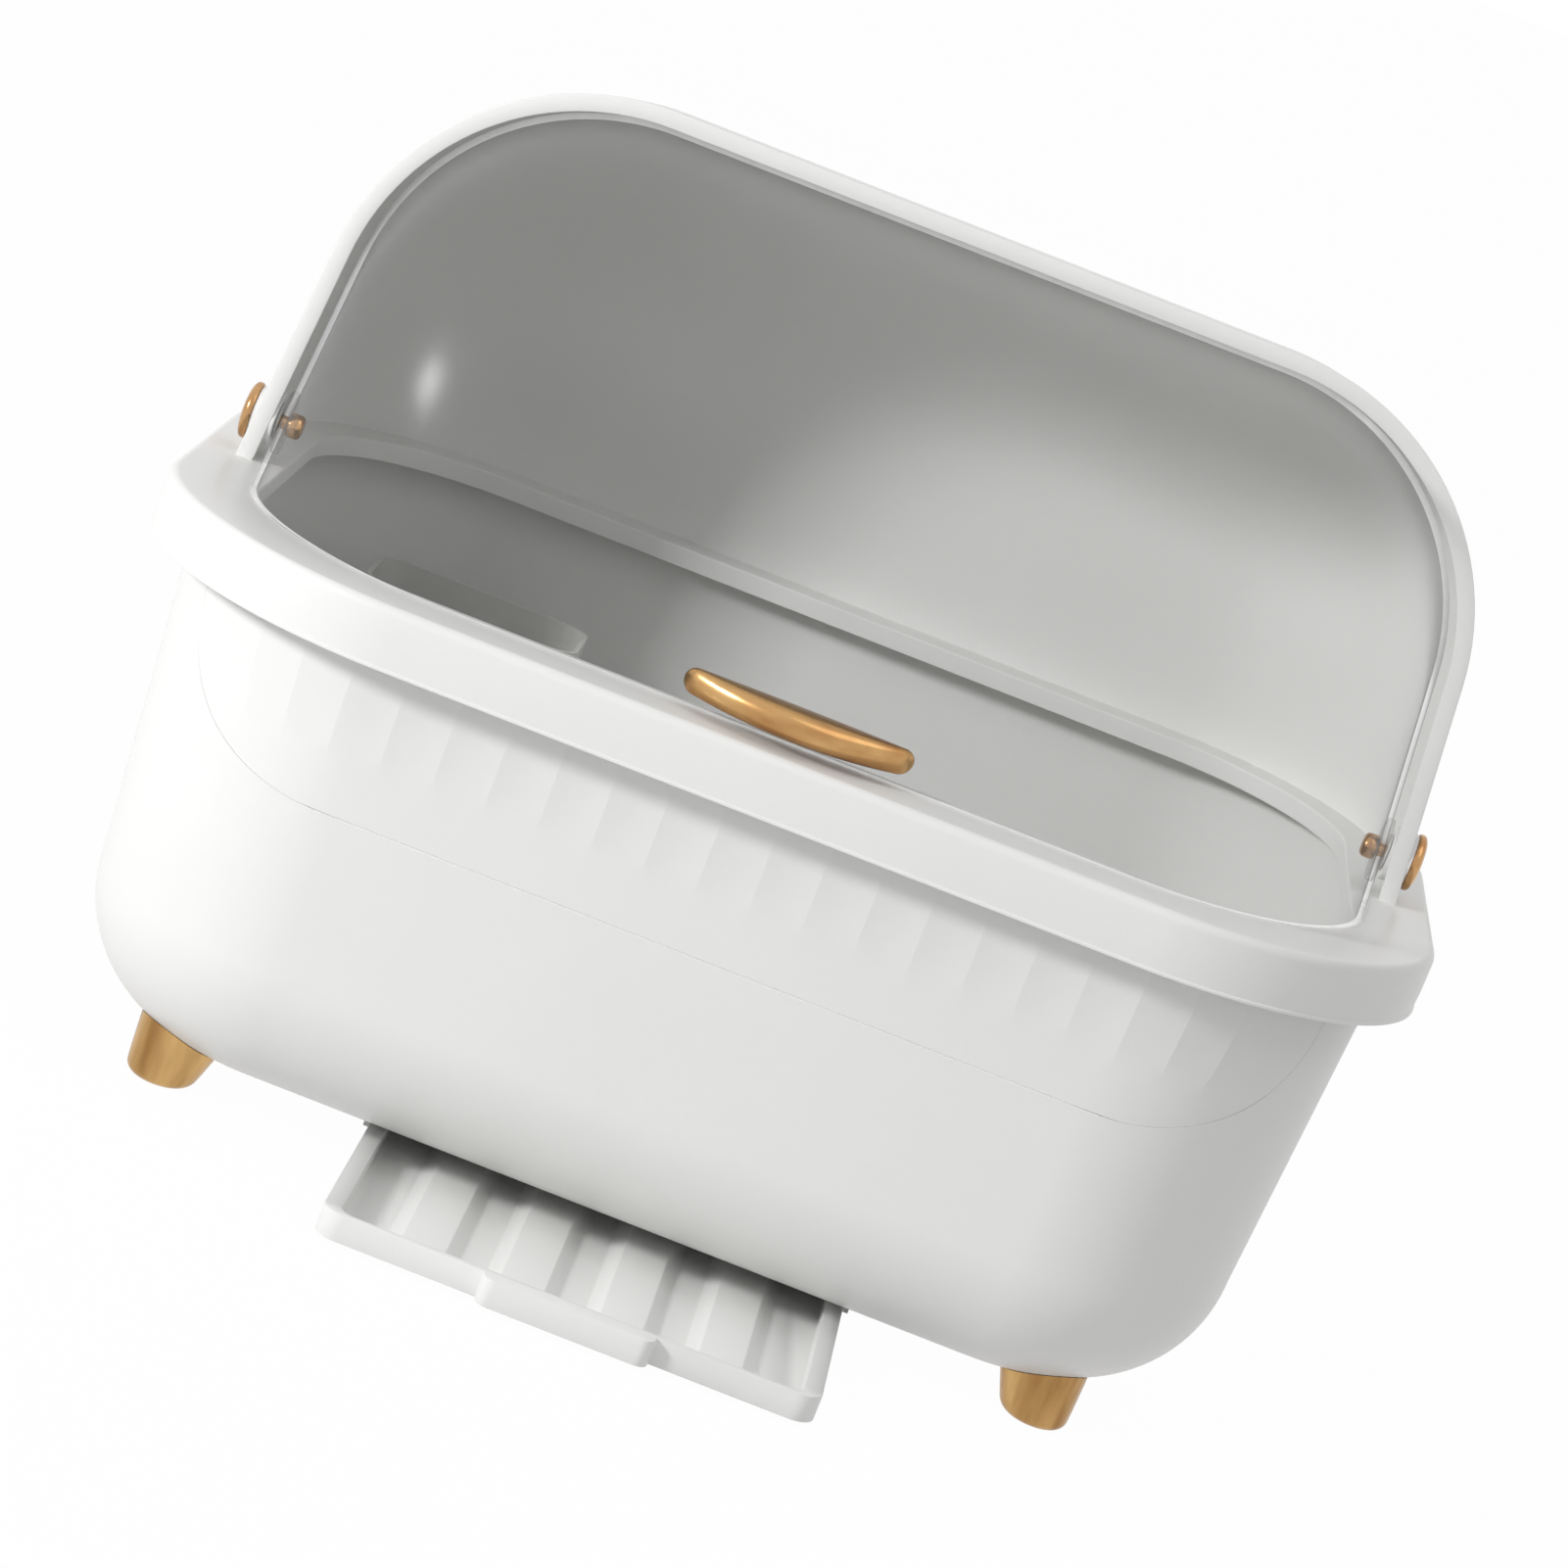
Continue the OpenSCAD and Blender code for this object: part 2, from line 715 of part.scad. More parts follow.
module clear_lid() {
    color(clear_grey) centred() difference() {
        union() {
            lid_shell();
            for (s = [0, 1]) mirror([s, 0, 0])
                along_x(ear_in, ear_out, axis_y, axis_z, ear_r);
        }
        for (s = [0, 1]) mirror([s, 0, 0]) {
            along_x(ear_in - over, ear_out + over, axis_y, axis_z, pin_r + pin_clear);
            along_x(ear_out, ear_out + ear_t, axis_y, axis_z, boss_r + seat_gap);
        }
        for (s = [-1, 1])
            translate([s * handle_pitch / 2, lid_front - over, handle_z]) rotate([-90, 0, 0])
                cylinder(h = lid_wall + 2 * over, r = screw_hole_r);
    }
}

// The handle: a lens seen from above, with a rounded section
handle_steps = 14;
handle_end = 5;
section_steps = 16;
// Thickness at the handle's ends and at its very tips, as shares of its own
end_share = 0.75;
tip_share = 0.05;
// Power of the section's oval: 1 is an ellipse, less is fuller
oval_share = 0.8;

function handle_ring(x) =
    let (
        half = handle_w / 2,
        bow = (half * half + handle_d * handle_d) / (2 * handle_d),
        tip = sqrt(max(0, 1 - pow(max(0, abs(x) - (half - handle_end)) / handle_end, 2))),
        d = (handle_d - x * x / (2 * bow)) * tip + fit_gap,
        t = handle_t * (1 - (1 - end_share) * x * x / (half * half)) * max(tip, tip_share)
    )
    [
        for (i = [0 : section_steps - 1])
            let (a = 360 * i / section_steps)
                [
                    x,
                    handle_back - d / 2 + d / 2 * sign(cos(a)) * pow(abs(cos(a)), oval_share),
                    handle_z + t / 2 * sign(sin(a)) * pow(abs(sin(a)), oval_share)
                ]
    ];

module lid_handle() {
    color(rose_gold) centred() difference() {
        union() {
            loft([
                for (i = [0 : handle_steps])
                    handle_ring(-handle_w / 2 * cos(180 * i / handle_steps))
            ]);
            for (s = [-1, 1])
                translate([s * handle_pitch / 2, handle_back - handle_d / 3, handle_z])
                    rotate([-90, 0, 0]) cylinder(h = handle_d / 3, r = handle_t / 3);
        }
        for (s = [-1, 1])
            translate([s * handle_pitch / 2, handle_back - handle_d / 2, handle_z])
                rotate([-90, 0, 0]) cylinder(h = handle_d / 2 + over, r = pilot_r);
    }
}

// A pan head screw along +Z, the underside of its head at the origin
module pan_screw(length) {
    translate([0, 0, -length]) cylinder(h = length + screw_head_t / 2, r = screw_r);
    difference() {
        cylinder(h = screw_head_t, r1 = screw_head_r, r2 = screw_head_r * head_top_share);
        for (turn = [0, 90]) rotate([0, 0, turn])
            translate([-recess_l / 2, -recess_w / 2, screw_head_t - recess_d])
                cube([recess_l, recess_w, recess_d + over]);
    }
}

module handle_screws() {
    color(steel) centred()
        for (s = [-1, 1])
            translate([s * handle_pitch / 2, lid_front + lid_wall + fit_gap / 2, handle_z])
                rotate([-90, 0, 0]) pan_screw(lid_wall + handle_d / 2);
}

module hinge_pin(side) {
    color(rose_gold) centred() mirror([side, 0, 0]) {
        translate([boss_out, axis_y, axis_z]) rotate([0, 90, 0]) rotate_extrude()
            polygon(concat(
                [[0, 0], [cap_r - cap_bevel, 0], [cap_r, cap_bevel]],
                [for (c = cap_shares) [cap_r * c[0], cap_t * c[1]]]
            ));
        along_x(nut_out - nut_l + nut_wall + fit_gap, boss_out, axis_y, axis_z, pin_r);
    }
}

module hinge_nut(side) {
    color(rose_gold) centred() mirror([side, 0, 0]) difference() {
        translate([nut_out, axis_y, axis_z]) rotate([0, -90, 0]) rotate_extrude()
            polygon([for (c = nut_shares) [nut_r * c[0], nut_l * c[1]]]);
        along_x(nut_out - nut_l + nut_wall, nut_out + over, axis_y, axis_z, pin_r + pin_clear);
    }
}

module hinge_washer(side) {
    color(inner_grey) centred() mirror([side, 0, 0]) difference() {
        along_x(washer_in, washer_in + washer_t, axis_y, axis_z, washer_r);
        along_x(washer_in - over, washer_in + washer_t + over, axis_y, axis_z, pin_r + pin_clear);
    }
}

// The lower corner of the tub as a solid of turning, for the foot's seat
module tub_corner() {
    major = tub_r - draft_inset(fillet_top) - tub_fillet;
    translate([corner_x, corner_y, 0]) rotate_extrude($fn = 96) {
        translate([0, ground_gap - fit_gap]) square([major, 2 * tub_fillet]);
        intersection() {
            translate([major, fillet_top]) circle(tub_fillet + fit_gap, $fn = 96);
            translate([0, ground_gap - fit_gap]) square([major + 2 * tub_fillet, 2 * tub_fillet]);
        }
    }
}

module foot(sx, sy) {
    color(satin_gold) centred() mirror([sx < 0 ? 1 : 0, 0, 0]) mirror([0, sy < 0 ? 1 : 0, 0])
        difference() {
            translate([foot_x, foot_y, 0]) rotate_extrude()
                polygon(concat(
                    [[0, 0]],
                    [
                        for (i = [0 : 4])
                            [foot_r - foot_edge + foot_edge * sin(22.5 * i),
                                foot_edge - foot_edge * cos(22.5 * i)]
                    ],
                    [[foot_top_r, ground_gap * 2], [0, ground_gap * 2]]
                ));
            tub_corner();
            translate([foot_x, foot_y, foot_seat - foot_screw_l - over])
                cylinder(h = foot_screw_l + over, r = pilot_r);
        }
}

module foot_screws() {
    color(steel) centred()
        for (sx = [-1, 1], sy = [-1, 1])
            translate([sx * foot_x, sy * foot_y, foot_seat]) pan_screw(foot_screw_l);
}

// Seen from above, from the tray's front wall back: its outline at a distance t inside
module tray_plan(hw, t) {
    translate([0, tray_l / 2]) rounded_plate(hw - t, tray_l / 2 - t, tray_corner - t);
}

// Corner radius of the finger tab, as a share of its depth
tab_round_share = 0.7;

module finger_tab() {
    r = tab_d * tab_round_share;
    translate([0, tab_d]) rounded_plate(tab_w / 2, 2 * tab_d, r);
}

module tray_rib() {
    run = tray_l - 2 * tray_wall - tray_corner;
    rotate([-90, 0, 0]) mirror([0, 1, 0]) linear_extrude(run) polygon([
        [-rib_w / 2 - rib_flank, -over], [rib_w / 2 + rib_flank, -over],
        [rib_w / 2 + rib_flank, 0], [rib_w / 2, rib_h],
        [-rib_w / 2, rib_h], [-rib_w / 2 - rib_flank, 0]
    ]);
}

module drip_tray() {
    hw = tray_w / 2;
    wide = hw + tray_flange;
    color(shell_white) centred() translate([0, tray_front, tray_base]) difference() {
        union() {
            linear_extrude(tray_h) tray_plan(hw, 0);
            translate([-wide, tray_corner, tray_h - flange_t])
                cube([2 * wide, tray_l - 2 * tray_corner, flange_t]);
            linear_extrude(tray_h + front_rise) intersection() {
                union() {
                    tray_plan(wide, 0);
                    finger_tab();
                }
                translate([-wide, -tab_d]) square([2 * wide, tab_d + tray_corner]);
            }
        }
        difference() {
            translate([0, 0, tray_floor]) linear_extrude(tray_h) tray_plan(hw, tray_wall);
            for (i = [0 : rib_count - 1])
                translate([(i - (rib_count - 1) / 2) * rib_pitch, tray_corner, tray_floor])
                    tray_rib();
        }
    }
}

module tray_runner(side) {
    lip_low = lip_top - runner_t;
    color(inner_grey) centred() mirror([side, 0, 0]) difference() {
        translate([0, runner_l / 2, 0]) rotate([90, 0, 0]) linear_extrude(runner_l) polygon([
            [runner_lip, lip_low], [runner_web + runner_t, lip_low],
            [runner_web + runner_t, ground_gap - runner_t],
            [runner_web + runner_plate, ground_gap - runner_t],
            [runner_web + runner_plate, ground_gap], [runner_web, ground_gap],
            [runner_web, lip_top], [runner_lip, lip_top]
        ]);
        for (s = [-1, 1])
            translate([runner_hole_x, s * runner_hole_y, ground_gap - runner_t - over])
                cylinder(h = runner_t + 2 * over, r = screw_hole_r);
    }
}

module runner_screws() {
    color(steel) centred()
        for (sx = [-1, 1], sy = [-1, 1])
            translate([sx * runner_hole_x, sy * runner_hole_y, ground_gap - runner_t])
                mirror([0, 0, 1]) pan_screw(runner_t + boss_h * 0.8);
}

// A drain slot at x, y stays clear of the rack's rounded corner
function slot_fits(x, y) =
    norm([
        max(0, abs(x) + slot_w / 2 - rack_hw + rack_r),
        max(0, abs(y) + slot_l / 2 - rack_hd + rack_r)
    ]) < rack_r - rack_edge_t - slot_w / 2;

module drain_rack() {
    color(inner_grey) centred() {
        difference() {
            translate([0, 0, rack_top - rack_t]) linear_extrude(rack_t + rack_edge)
                rounded_plate(rack_hw, rack_hd, rack_r);
            translate([0, 0, rack_top]) linear_extrude(rack_edge + over)
                rounded_plate(rack_hw - rack_edge_t, rack_hd - rack_edge_t, rack_r - rack_edge_t);
            translate([0, 0, rack_top - rack_t - over]) linear_extrude(rack_t + 2 * over)
                for (i = [0 : slot_cols - 1], j = [0 : slot_rows - 1])
                    let (
                        x = (i - (slot_cols - 1) / 2) * slot_pitch_x,
                        y = (j - (slot_rows - 1) / 2) * slot_pitch_y
                    )
                        if (slot_fits(x, y)) translate([x, y])
                            square([slot_w, slot_l], center = true);
        }
        for (c = [-leg_col, -0.5, 0.5, leg_col], s = [-1, 1])
            translate([c * slot_pitch_x, s * leg_y, ground_gap + tub_wall + fit_gap])
                cylinder(h = rack_top - rack_t - ground_gap - tub_wall, r = leg_r);
    }
}

module plate_rack() {
    base = rack_top + fit_gap;
    color(inner_grey) centred() translate([plate_x, 0, base]) {
        for (s = [-1, 1]) {
            translate([s * rail_gap / 2 - rail_w / 2, -rail_l / 2, 0]) cube([rail_w, rail_l, rail_h]);
            translate([-rail_gap / 2, s * (rail_l / 2 - rail_w / 2) - rail_w / 2, 0])
                cube([rail_gap, rail_w, rail_h]);
            for (i = [0 : plate_slots])
                translate([s * rail_gap / 2, (i - plate_slots / 2) * plate_pitch, rail_h / 2]) {
                    cylinder(h = peg_h + rail_h / 2 - peg_r, r = peg_r, $fn = 32);
                    translate([0, 0, peg_h + rail_h / 2 - peg_r]) sphere(peg_r, $fn = 32);
                }
        }
    }
}

module cutlery_caddy() {
    slot_pitch = (caddy_w - 2 * caddy_r) / caddy_slots;
    hole_pitch = caddy_w / 5;
    color(inner_grey) centred() translate([caddy_x, caddy_y, caddy_base]) difference() {
        linear_extrude(caddy_h) rounded_plate(caddy_w / 2, caddy_d / 2, caddy_r);
        difference() {
            translate([0, 0, caddy_wall]) linear_extrude(caddy_h)
                rounded_plate(caddy_w / 2 - caddy_wall, caddy_d / 2 - caddy_wall,
                    caddy_r - caddy_wall);
            // The divider between the two compartments
            translate([-caddy_wall / 2, -caddy_d / 2, 0])
                cube([caddy_wall, caddy_d, caddy_h - caddy_r]);
        }
        for (i = [0 : caddy_slots - 1], s = [-1, 1])
            translate([
                (i - (caddy_slots - 1) / 2) * slot_pitch,
                s * caddy_d / 2,
                caddy_h * caddy_mid_share
            ])
                cube([caddy_slot_w, 3 * caddy_wall, caddy_h * caddy_slot_share], center = true);
        for (i = [0 : 3], s = [-1, 1])
            translate([(i - 1.5) * hole_pitch, s * hole_pitch / 2, -over])
                cylinder(h = caddy_wall + 2 * over, r = drain_r);
    }
}

tub();
rim_collar();
rear_hood();
clear_lid();
lid_handle();
handle_screws();
hinge_pin(1);  // hinge_pin_left
hinge_pin(0);  // hinge_pin_right
hinge_nut(1);  // hinge_nut_left
hinge_nut(0);  // hinge_nut_right
hinge_washer(1);  // hinge_washer_left
hinge_washer(0);  // hinge_washer_right
foot(-1, -1);  // foot_front_left
foot(1, -1);  // foot_front_right
foot(-1, 1);  // foot_back_left
foot(1, 1);  // foot_back_right
foot_screws();
drip_tray();
tray_runner(1);  // tray_runner_left
tray_runner(0);  // tray_runner_right
runner_screws();
drain_rack();
plate_rack();
cutlery_caddy();
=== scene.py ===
# %% [markdown]
# # A covered dish drying box
# The box is a deep white tub under a wide rim collar. A white hood stands at the back, a
# clear lid turns inside it on two gold pins, and a shallow tray slides out underneath. The
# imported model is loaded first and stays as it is: it sets where everything is and how large,
# and each piece that is made here takes the place of one of its parts.

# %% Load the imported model
import math

import bmesh
import bpy
from mathutils import Matrix, Vector


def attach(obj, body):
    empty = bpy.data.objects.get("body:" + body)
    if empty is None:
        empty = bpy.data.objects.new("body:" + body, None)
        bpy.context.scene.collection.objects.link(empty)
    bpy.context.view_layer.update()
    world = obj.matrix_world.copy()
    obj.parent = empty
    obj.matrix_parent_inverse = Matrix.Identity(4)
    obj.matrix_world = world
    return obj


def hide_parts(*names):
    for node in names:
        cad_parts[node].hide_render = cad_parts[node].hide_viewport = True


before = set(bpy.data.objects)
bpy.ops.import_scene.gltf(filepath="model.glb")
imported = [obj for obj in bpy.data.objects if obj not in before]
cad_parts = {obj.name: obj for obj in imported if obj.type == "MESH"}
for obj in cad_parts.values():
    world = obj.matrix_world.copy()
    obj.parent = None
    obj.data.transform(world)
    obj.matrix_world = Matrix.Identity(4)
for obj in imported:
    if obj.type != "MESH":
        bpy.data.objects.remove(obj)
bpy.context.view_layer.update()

# %% [markdown]
# ## Working in millimetres
# The sizes below are in millimetres, and places are measured from the middle of the collar
# and up from the ground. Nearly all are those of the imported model. Only the panel with its
# flutes, the feet and the handle's thickness are shaped closer to the real box. A piece is
# brought to metres at the very end, when it also moves back by 23.5 mm, because the tray in
# front shifts the middle of the whole.

# %% From a bmesh to a finished piece
MIDDLE_Y = 23.5
TO_METRES = 0.001


def settle(bm, name, body, replaced, finish, sharp=32):
    """Brings a shape to metres and hands it over as one piece that rides on a body."""
    bmesh.ops.translate(bm, verts=bm.verts, vec=(0, MIDDLE_Y, 0))
    bmesh.ops.scale(bm, verts=bm.verts, vec=(TO_METRES,) * 3)
    for face in bm.faces:
        face.smooth = True
    for edge in bm.edges:
        edge.smooth = edge.calc_face_angle(0) < math.radians(sharp)
    mesh = bpy.data.meshes.new(name)
    bm.to_mesh(mesh)
    bm.free()
    mesh.materials.append(finish.material)
    piece = bpy.data.objects.new(name, mesh)
    bpy.context.scene.collection.objects.link(piece)
    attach(piece, body)
    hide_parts(*replaced)
    print(name, len(mesh.polygons), "faces", [round(c, 4) for c in piece.dimensions])
    return piece


# %% [markdown]
# ## A finish is a small sum
# A material is a net of nodes, and most of that net is arithmetic: take a noise, scale it,
# add it to a roughness. Written as wires that is hard to read, so a value of the net is
# wrapped here in a class whose + - * ** work as on numbers. All other nodes come from one
# method that takes their type, their settings and what goes into their sockets. A mix node
# has several sockets of one name, so those for colours are told by their number.

# %% Values of a net


class Value:
    """One output of a node, which Python's own signs can add and scale."""

    def __init__(self, net, socket):
        self.net = net
        self.socket = socket

    def sum(self, operation, first, second):
        return self.net.node("ShaderNodeMath", {"operation": operation}, {0: first, 1: second})

    def __add__(self, other):
        return self.sum("ADD", self, other)

    def __mul__(self, other):
        return self.sum("MULTIPLY", self, other)

    def __sub__(self, other):
        return self.sum("SUBTRACT", self, other)

    def __rsub__(self, other):
        return self.sum("SUBTRACT", other, self)

    def __pow__(self, other):
        return self.sum("POWER", self, other)

    def or_more(self, other):
        return self.sum("MAXIMUM", self, other)

    __radd__ = __add__
    __rmul__ = __mul__


class Net:
    """An empty tree of nodes, which all come from one method."""

    def __init__(self, tree):
        self.tree = tree
        self.tree.nodes.clear()

    def node(self, kind, settings=None, inputs=None, output=0):
        made = self.tree.nodes.new(kind)
        for key, setting in (settings or {}).items():
            setattr(made, key, setting)
        for key, given in (inputs or {}).items():
            if isinstance(given, Value):
                self.tree.links.new(given.socket, made.inputs[key])
            else:
                made.inputs[key].default_value = given
        return Value(self, made.outputs[output]) if made.outputs else made


print("a net's values can be summed")

# %% A finish, which is the net of a material
MIX_FACTOR, MIX_FIRST, MIX_SECOND, MIX_COLOUR = 0, 6, 7, 2


class Finish(Net):
    """A material under construction, for one of the record's slots."""

    def __init__(self, name, slot):
        self.slot = slot
        self.material = bpy.data.materials.new(name)
        self.material.use_nodes = True
        super().__init__(self.material.node_tree)

    def grain(self, scale, detail=2.0, roughness=0.5):
        """Noise in the piece's own place, with a scale in cells per metre."""
        where = self.node("ShaderNodeTexCoord", output="Object")
        return self.node(
            "ShaderNodeTexNoise",
            inputs={"Vector": where, "Scale": scale, "Detail": detail, "Roughness": roughness},
        )

    def bumps(self, height, distance, strength=0.5):
        inputs = {"Height": height, "Distance": distance, "Strength": strength}
        return self.node("ShaderNodeBump", inputs=inputs)

    def mottle(self, amount, dark, light):
        """A colour between two tints, by a value from 0 to 1."""
        inputs = {MIX_FACTOR: amount, MIX_FIRST: (*dark, 1), MIX_SECOND: (*light, 1)}
        return self.node("ShaderNodeMix", {"data_type": "RGBA"}, inputs, output=MIX_COLOUR)

    def surface(self, shader):
        self.node("ShaderNodeOutputMaterial", inputs={"Surface": shader})
        return self


def grey(level):
    """A grey without a tint, as a socket takes it."""
    return (level, level, level, 1)


print("finishes are written as sums")

# %% [markdown]
# ## White moulded plastic
# The shells are injection moulded in a white plastic with a satin skin. Close up such a skin
# is a very fine grain from the etched mould, over slow waves where the plastic cooled. Both
# are noises: the fine one drives a bump of a few hundredths of a millimetre, and the slow
# one shifts colour and gloss by a few percent, so that no large face is one flat tone. The
# plastic hardly shines, so its mirroring share is set to half of the usual.

# %% Shell white


def moulded(name, slot, dark, light, gloss):
    """A satin moulded plastic between two near tints, with a grain 0.03 mm high."""
    made = Finish(name, slot)
    slow = made.grain(9.0, detail=3.0)
    fine = made.grain(1400.0)
    speckle = made.grain(260.0, detail=4.0)
    tint = made.mottle(slow * 0.8 + speckle * 0.2, dark, light)
    skin = made.node(
        "ShaderNodeBsdfPrincipled",
        inputs={
            "Base Color": tint,
            "Roughness": slow * 0.10 + speckle * 0.05 + (gloss - 0.07),
            "Normal": made.bumps(fine + slow * 6.0, 0.00003, strength=0.6),
            "Specular IOR Level": 0.25,
            "Coat Weight": 0.05,
            "Coat Roughness": 0.25,
        },
    )
    return made.surface(skin)


shell_white = moulded("shell_white", "shell_white", (0.80, 0.80, 0.785), (0.86, 0.86, 0.85), 0.36)
inner_plastic = moulded(
    "inner_plastic", "inner_plastic", (0.68, 0.68, 0.66), (0.75, 0.75, 0.73), 0.42
)
print("white and light grey plastic")

# %% [markdown]
# ## Clear plastic
# The lid is a clear plastic 2.4 mm thick. Real glass bends the light in it, which costs many
# samples and hides what is behind in noise. A thin shell hardly bends anything, so a mix
# does as well: light goes straight through, a little darker where the wall is seen from the
# side and the way through it is long. The share that is mirrored grows with the fifth power
# of the slant. That is a common shortcut, and it holds for both sides of a skin, while the
# node that follows the optics turns the inner side into a full mirror beyond 42 degrees. The
# cut edges of such a sheet show as pale lines, where light that runs inside it comes out.
# Here they get a finish of their own, a pale colour that glows a little: a painted highlight.

# %% Clear lid
clear = Finish("clear_plastic", "clear_plastic")
facing = clear.node("ShaderNodeLayerWeight", inputs={"Blend": 0.5}, output="Facing")
straight = clear.node("ShaderNodeBsdfTransparent", inputs={"Color": grey(0.985)})
slanting = clear.node("ShaderNodeBsdfTransparent", inputs={"Color": grey(0.25)})
through = clear.node("ShaderNodeMixShader", inputs={0: facing ** 9.0, 1: straight, 2: slanting})
scuffs = clear.grain(38.0, detail=6.0, roughness=0.7)
mirror_skin = clear.node(
    "ShaderNodeBsdfPrincipled",
    inputs={
        "Base Color": grey(0.70),
        "Metallic": 1.0,
        "Roughness": scuffs * 0.06 + 0.20,
        "Normal": clear.bumps(clear.grain(14.0), 0.0006),
    },
)
mirrored = facing ** 5.0 * 0.35 + scuffs * 0.006 + 0.003
clear.surface(clear.node("ShaderNodeMixShader", inputs={0: mirrored, 1: through, 2: mirror_skin}))
print("clear plastic")

# %% The clear plastic's cut edges, with a painted glow
painted_glow_edge = Finish("clear_edge_painted_glow", "clear_plastic")
edge_scuffs = painted_glow_edge.grain(90.0, detail=4.0)
# A pale colour and a weak emission paint the light that comes out of a cut edge; the emission makes
# the edge glow without a lamp.
painted_glow_skin = painted_glow_edge.node(
    "ShaderNodeBsdfPrincipled",
    inputs={
        "Base Color": painted_glow_edge.mottle(edge_scuffs, (0.80, 0.81, 0.81), (0.92, 0.92, 0.92)),
        "Roughness": edge_scuffs * 0.2 + 0.2,
        "Alpha": edge_scuffs * 0.2 + 0.6,
        "Emission Color": grey(1),
        "Emission Strength": 0.4,
    },
)
painted_glow_edge.surface(painted_glow_skin)
print("pale edges")

# %% [markdown]
# ## Plated gold and steel
# The handle and the hinge caps have a rose gold plating, the feet a yellower satin one. Both
# are fully metallic, so their look comes from what they mirror. In a white studio that is
# nearly all white, so darker and lighter streaks are painted into the base colour by a noise
# that is stretched along the piece: painted reflections of darker surroundings. A slow noise
# in the roughness breaks the mirror up, and a fine one, stretched too, leaves the faint
# lines of the polish.

# %% Rose gold, satin gold and steel


def stretched(made, cells):
    """Noise with its own number of cells per metre along x, y and z."""
    where = made.node("ShaderNodeTexCoord", output="Object")
    drawn = made.node("ShaderNodeMapping", inputs={"Vector": where, "Scale": cells})
    return made.node("ShaderNodeTexNoise", inputs={"Vector": drawn, "Scale": 1.0, "Detail": 3.0})


def plated(name, slot, dark, light, gloss, painted_reflection_cells=(25.0, 80.0, 80.0)):
    """A metal skin with painted reflections as streaks of tint, a slow change of gloss and fine
    polishing lines.
    """
    made = Finish(name, slot)
    lines = stretched(made, (60.0, 900.0, 900.0))
    slow = made.grain(55.0, detail=3.0)
    painted_reflection = stretched(made, painted_reflection_cells)
    skin = made.node(
        "ShaderNodeBsdfPrincipled",
        inputs={
            # The darker and lighter streaks of the base colour are painted reflections.
            "Base Color": made.mottle(painted_reflection * 2.4 - 0.7, dark, light),
            "Metallic": 1.0,
            "Roughness": slow * 0.10 + lines * 0.05 + (gloss - 0.05),
            "Normal": made.bumps(lines, 0.00002),
        },
    )
    return made.surface(skin)


rose_gold = plated(
    "rose_gold_plate", "rose_gold_plate", (0.36, 0.16, 0.055), (0.64, 0.40, 0.17), 0.22
)
rose_gold_pin = plated(
    "rose_gold_metal", "rose_gold_metal", (0.40, 0.20, 0.08), (0.64, 0.40, 0.19), 0.20
)
satin_gold = plated(
    "satin_gold_plate", "satin_gold_plate", (0.30, 0.15, 0.05), (0.66, 0.42, 0.17), 0.24,
    painted_reflection_cells=(75.0, 75.0, 16.0),
)
steel = plated("screw_steel", "screw_steel", (0.52, 0.53, 0.54), (0.62, 0.63, 0.64), 0.30)
print("four metals")

# %% [markdown]
# ## Walking a ring through stations
# Most shells of the box are one outline that changes as it goes: the tub's ring grows on its
# way up, the hood's arch shrinks on its way back. A lathe can't turn them, because they
# aren't round, and a stack of hand written points is hard to change. So one ring of edges is
# made with a bevelled grid, remembers where it began in a layer of its vertices, and is
# extruded station by station, while a rule of the piece puts each new point in place.

# %% Outline, walk and covers for open ends
MERGE = 0.0005


def started():
    """An empty bmesh whose points can remember their place on the first outline."""
    bm = bmesh.new()
    return bm, bm.verts.layers.float_vector.new("spot")


def flat_outline(bm, half_w, half_d, radius, steps):
    """A rounded rectangle: a grid of one face, stretched, with bevelled corners."""
    corners = bmesh.ops.create_grid(bm, x_segments=1, y_segments=1, size=1)["verts"]
    bmesh.ops.scale(bm, verts=corners, vec=(half_w, half_d, 1))
    bmesh.ops.bevel(
        bm, geom=corners, offset=radius, offset_type="OFFSET", segments=steps,
        profile=0.5, material=-1, affect="VERTICES",
    )
    return bm.faces[:]


def ring_only(bm, faces):
    """Takes the faces away and leaves their edges as a wire."""
    bmesh.ops.delete(bm, geom=faces, context="FACES_ONLY")
    return bm.edges[:]


def walk(bm, ring, spot, stations, place):
    """Extrudes a chain of edges from station to station and returns the last chain."""
    for point in {v for edge in ring for v in edge.verts}:
        point.co = place(point[spot], stations[0])
    for station in stations[1:]:
        made = bmesh.ops.extrude_edge_only(bm, edges=ring)["geom"]
        points = {v for v in made if isinstance(v, bmesh.types.BMVert)}
        ring = [e for e in made if isinstance(e, bmesh.types.BMEdge) and points.issuperset(e.verts)]
        for point in points:
            point.co = place(point[spot], station)
    return ring


def cover(bm, ring):
    """Closes one ring or chain of edges with a face."""
    points = list(dict.fromkeys(v for edge in ring for v in edge.verts))
    bmesh.ops.contextual_create(bm, geom=points + ring)


def outwards(bm):
    """Merges what coincides and turns every face outwards."""
    bmesh.ops.remove_doubles(bm, verts=bm.verts, dist=MERGE)
    bmesh.ops.recalc_face_normals(bm, faces=bm.faces)


print("walks are ready")

# %% [markdown]
# ## Turned pieces
# Caps, nuts, bosses and feet are round. Their profile is a short wire that starts or ends on
# the axis, and one full spin sweeps it round. use_merge welds the last step to the first.

# %% A lathe


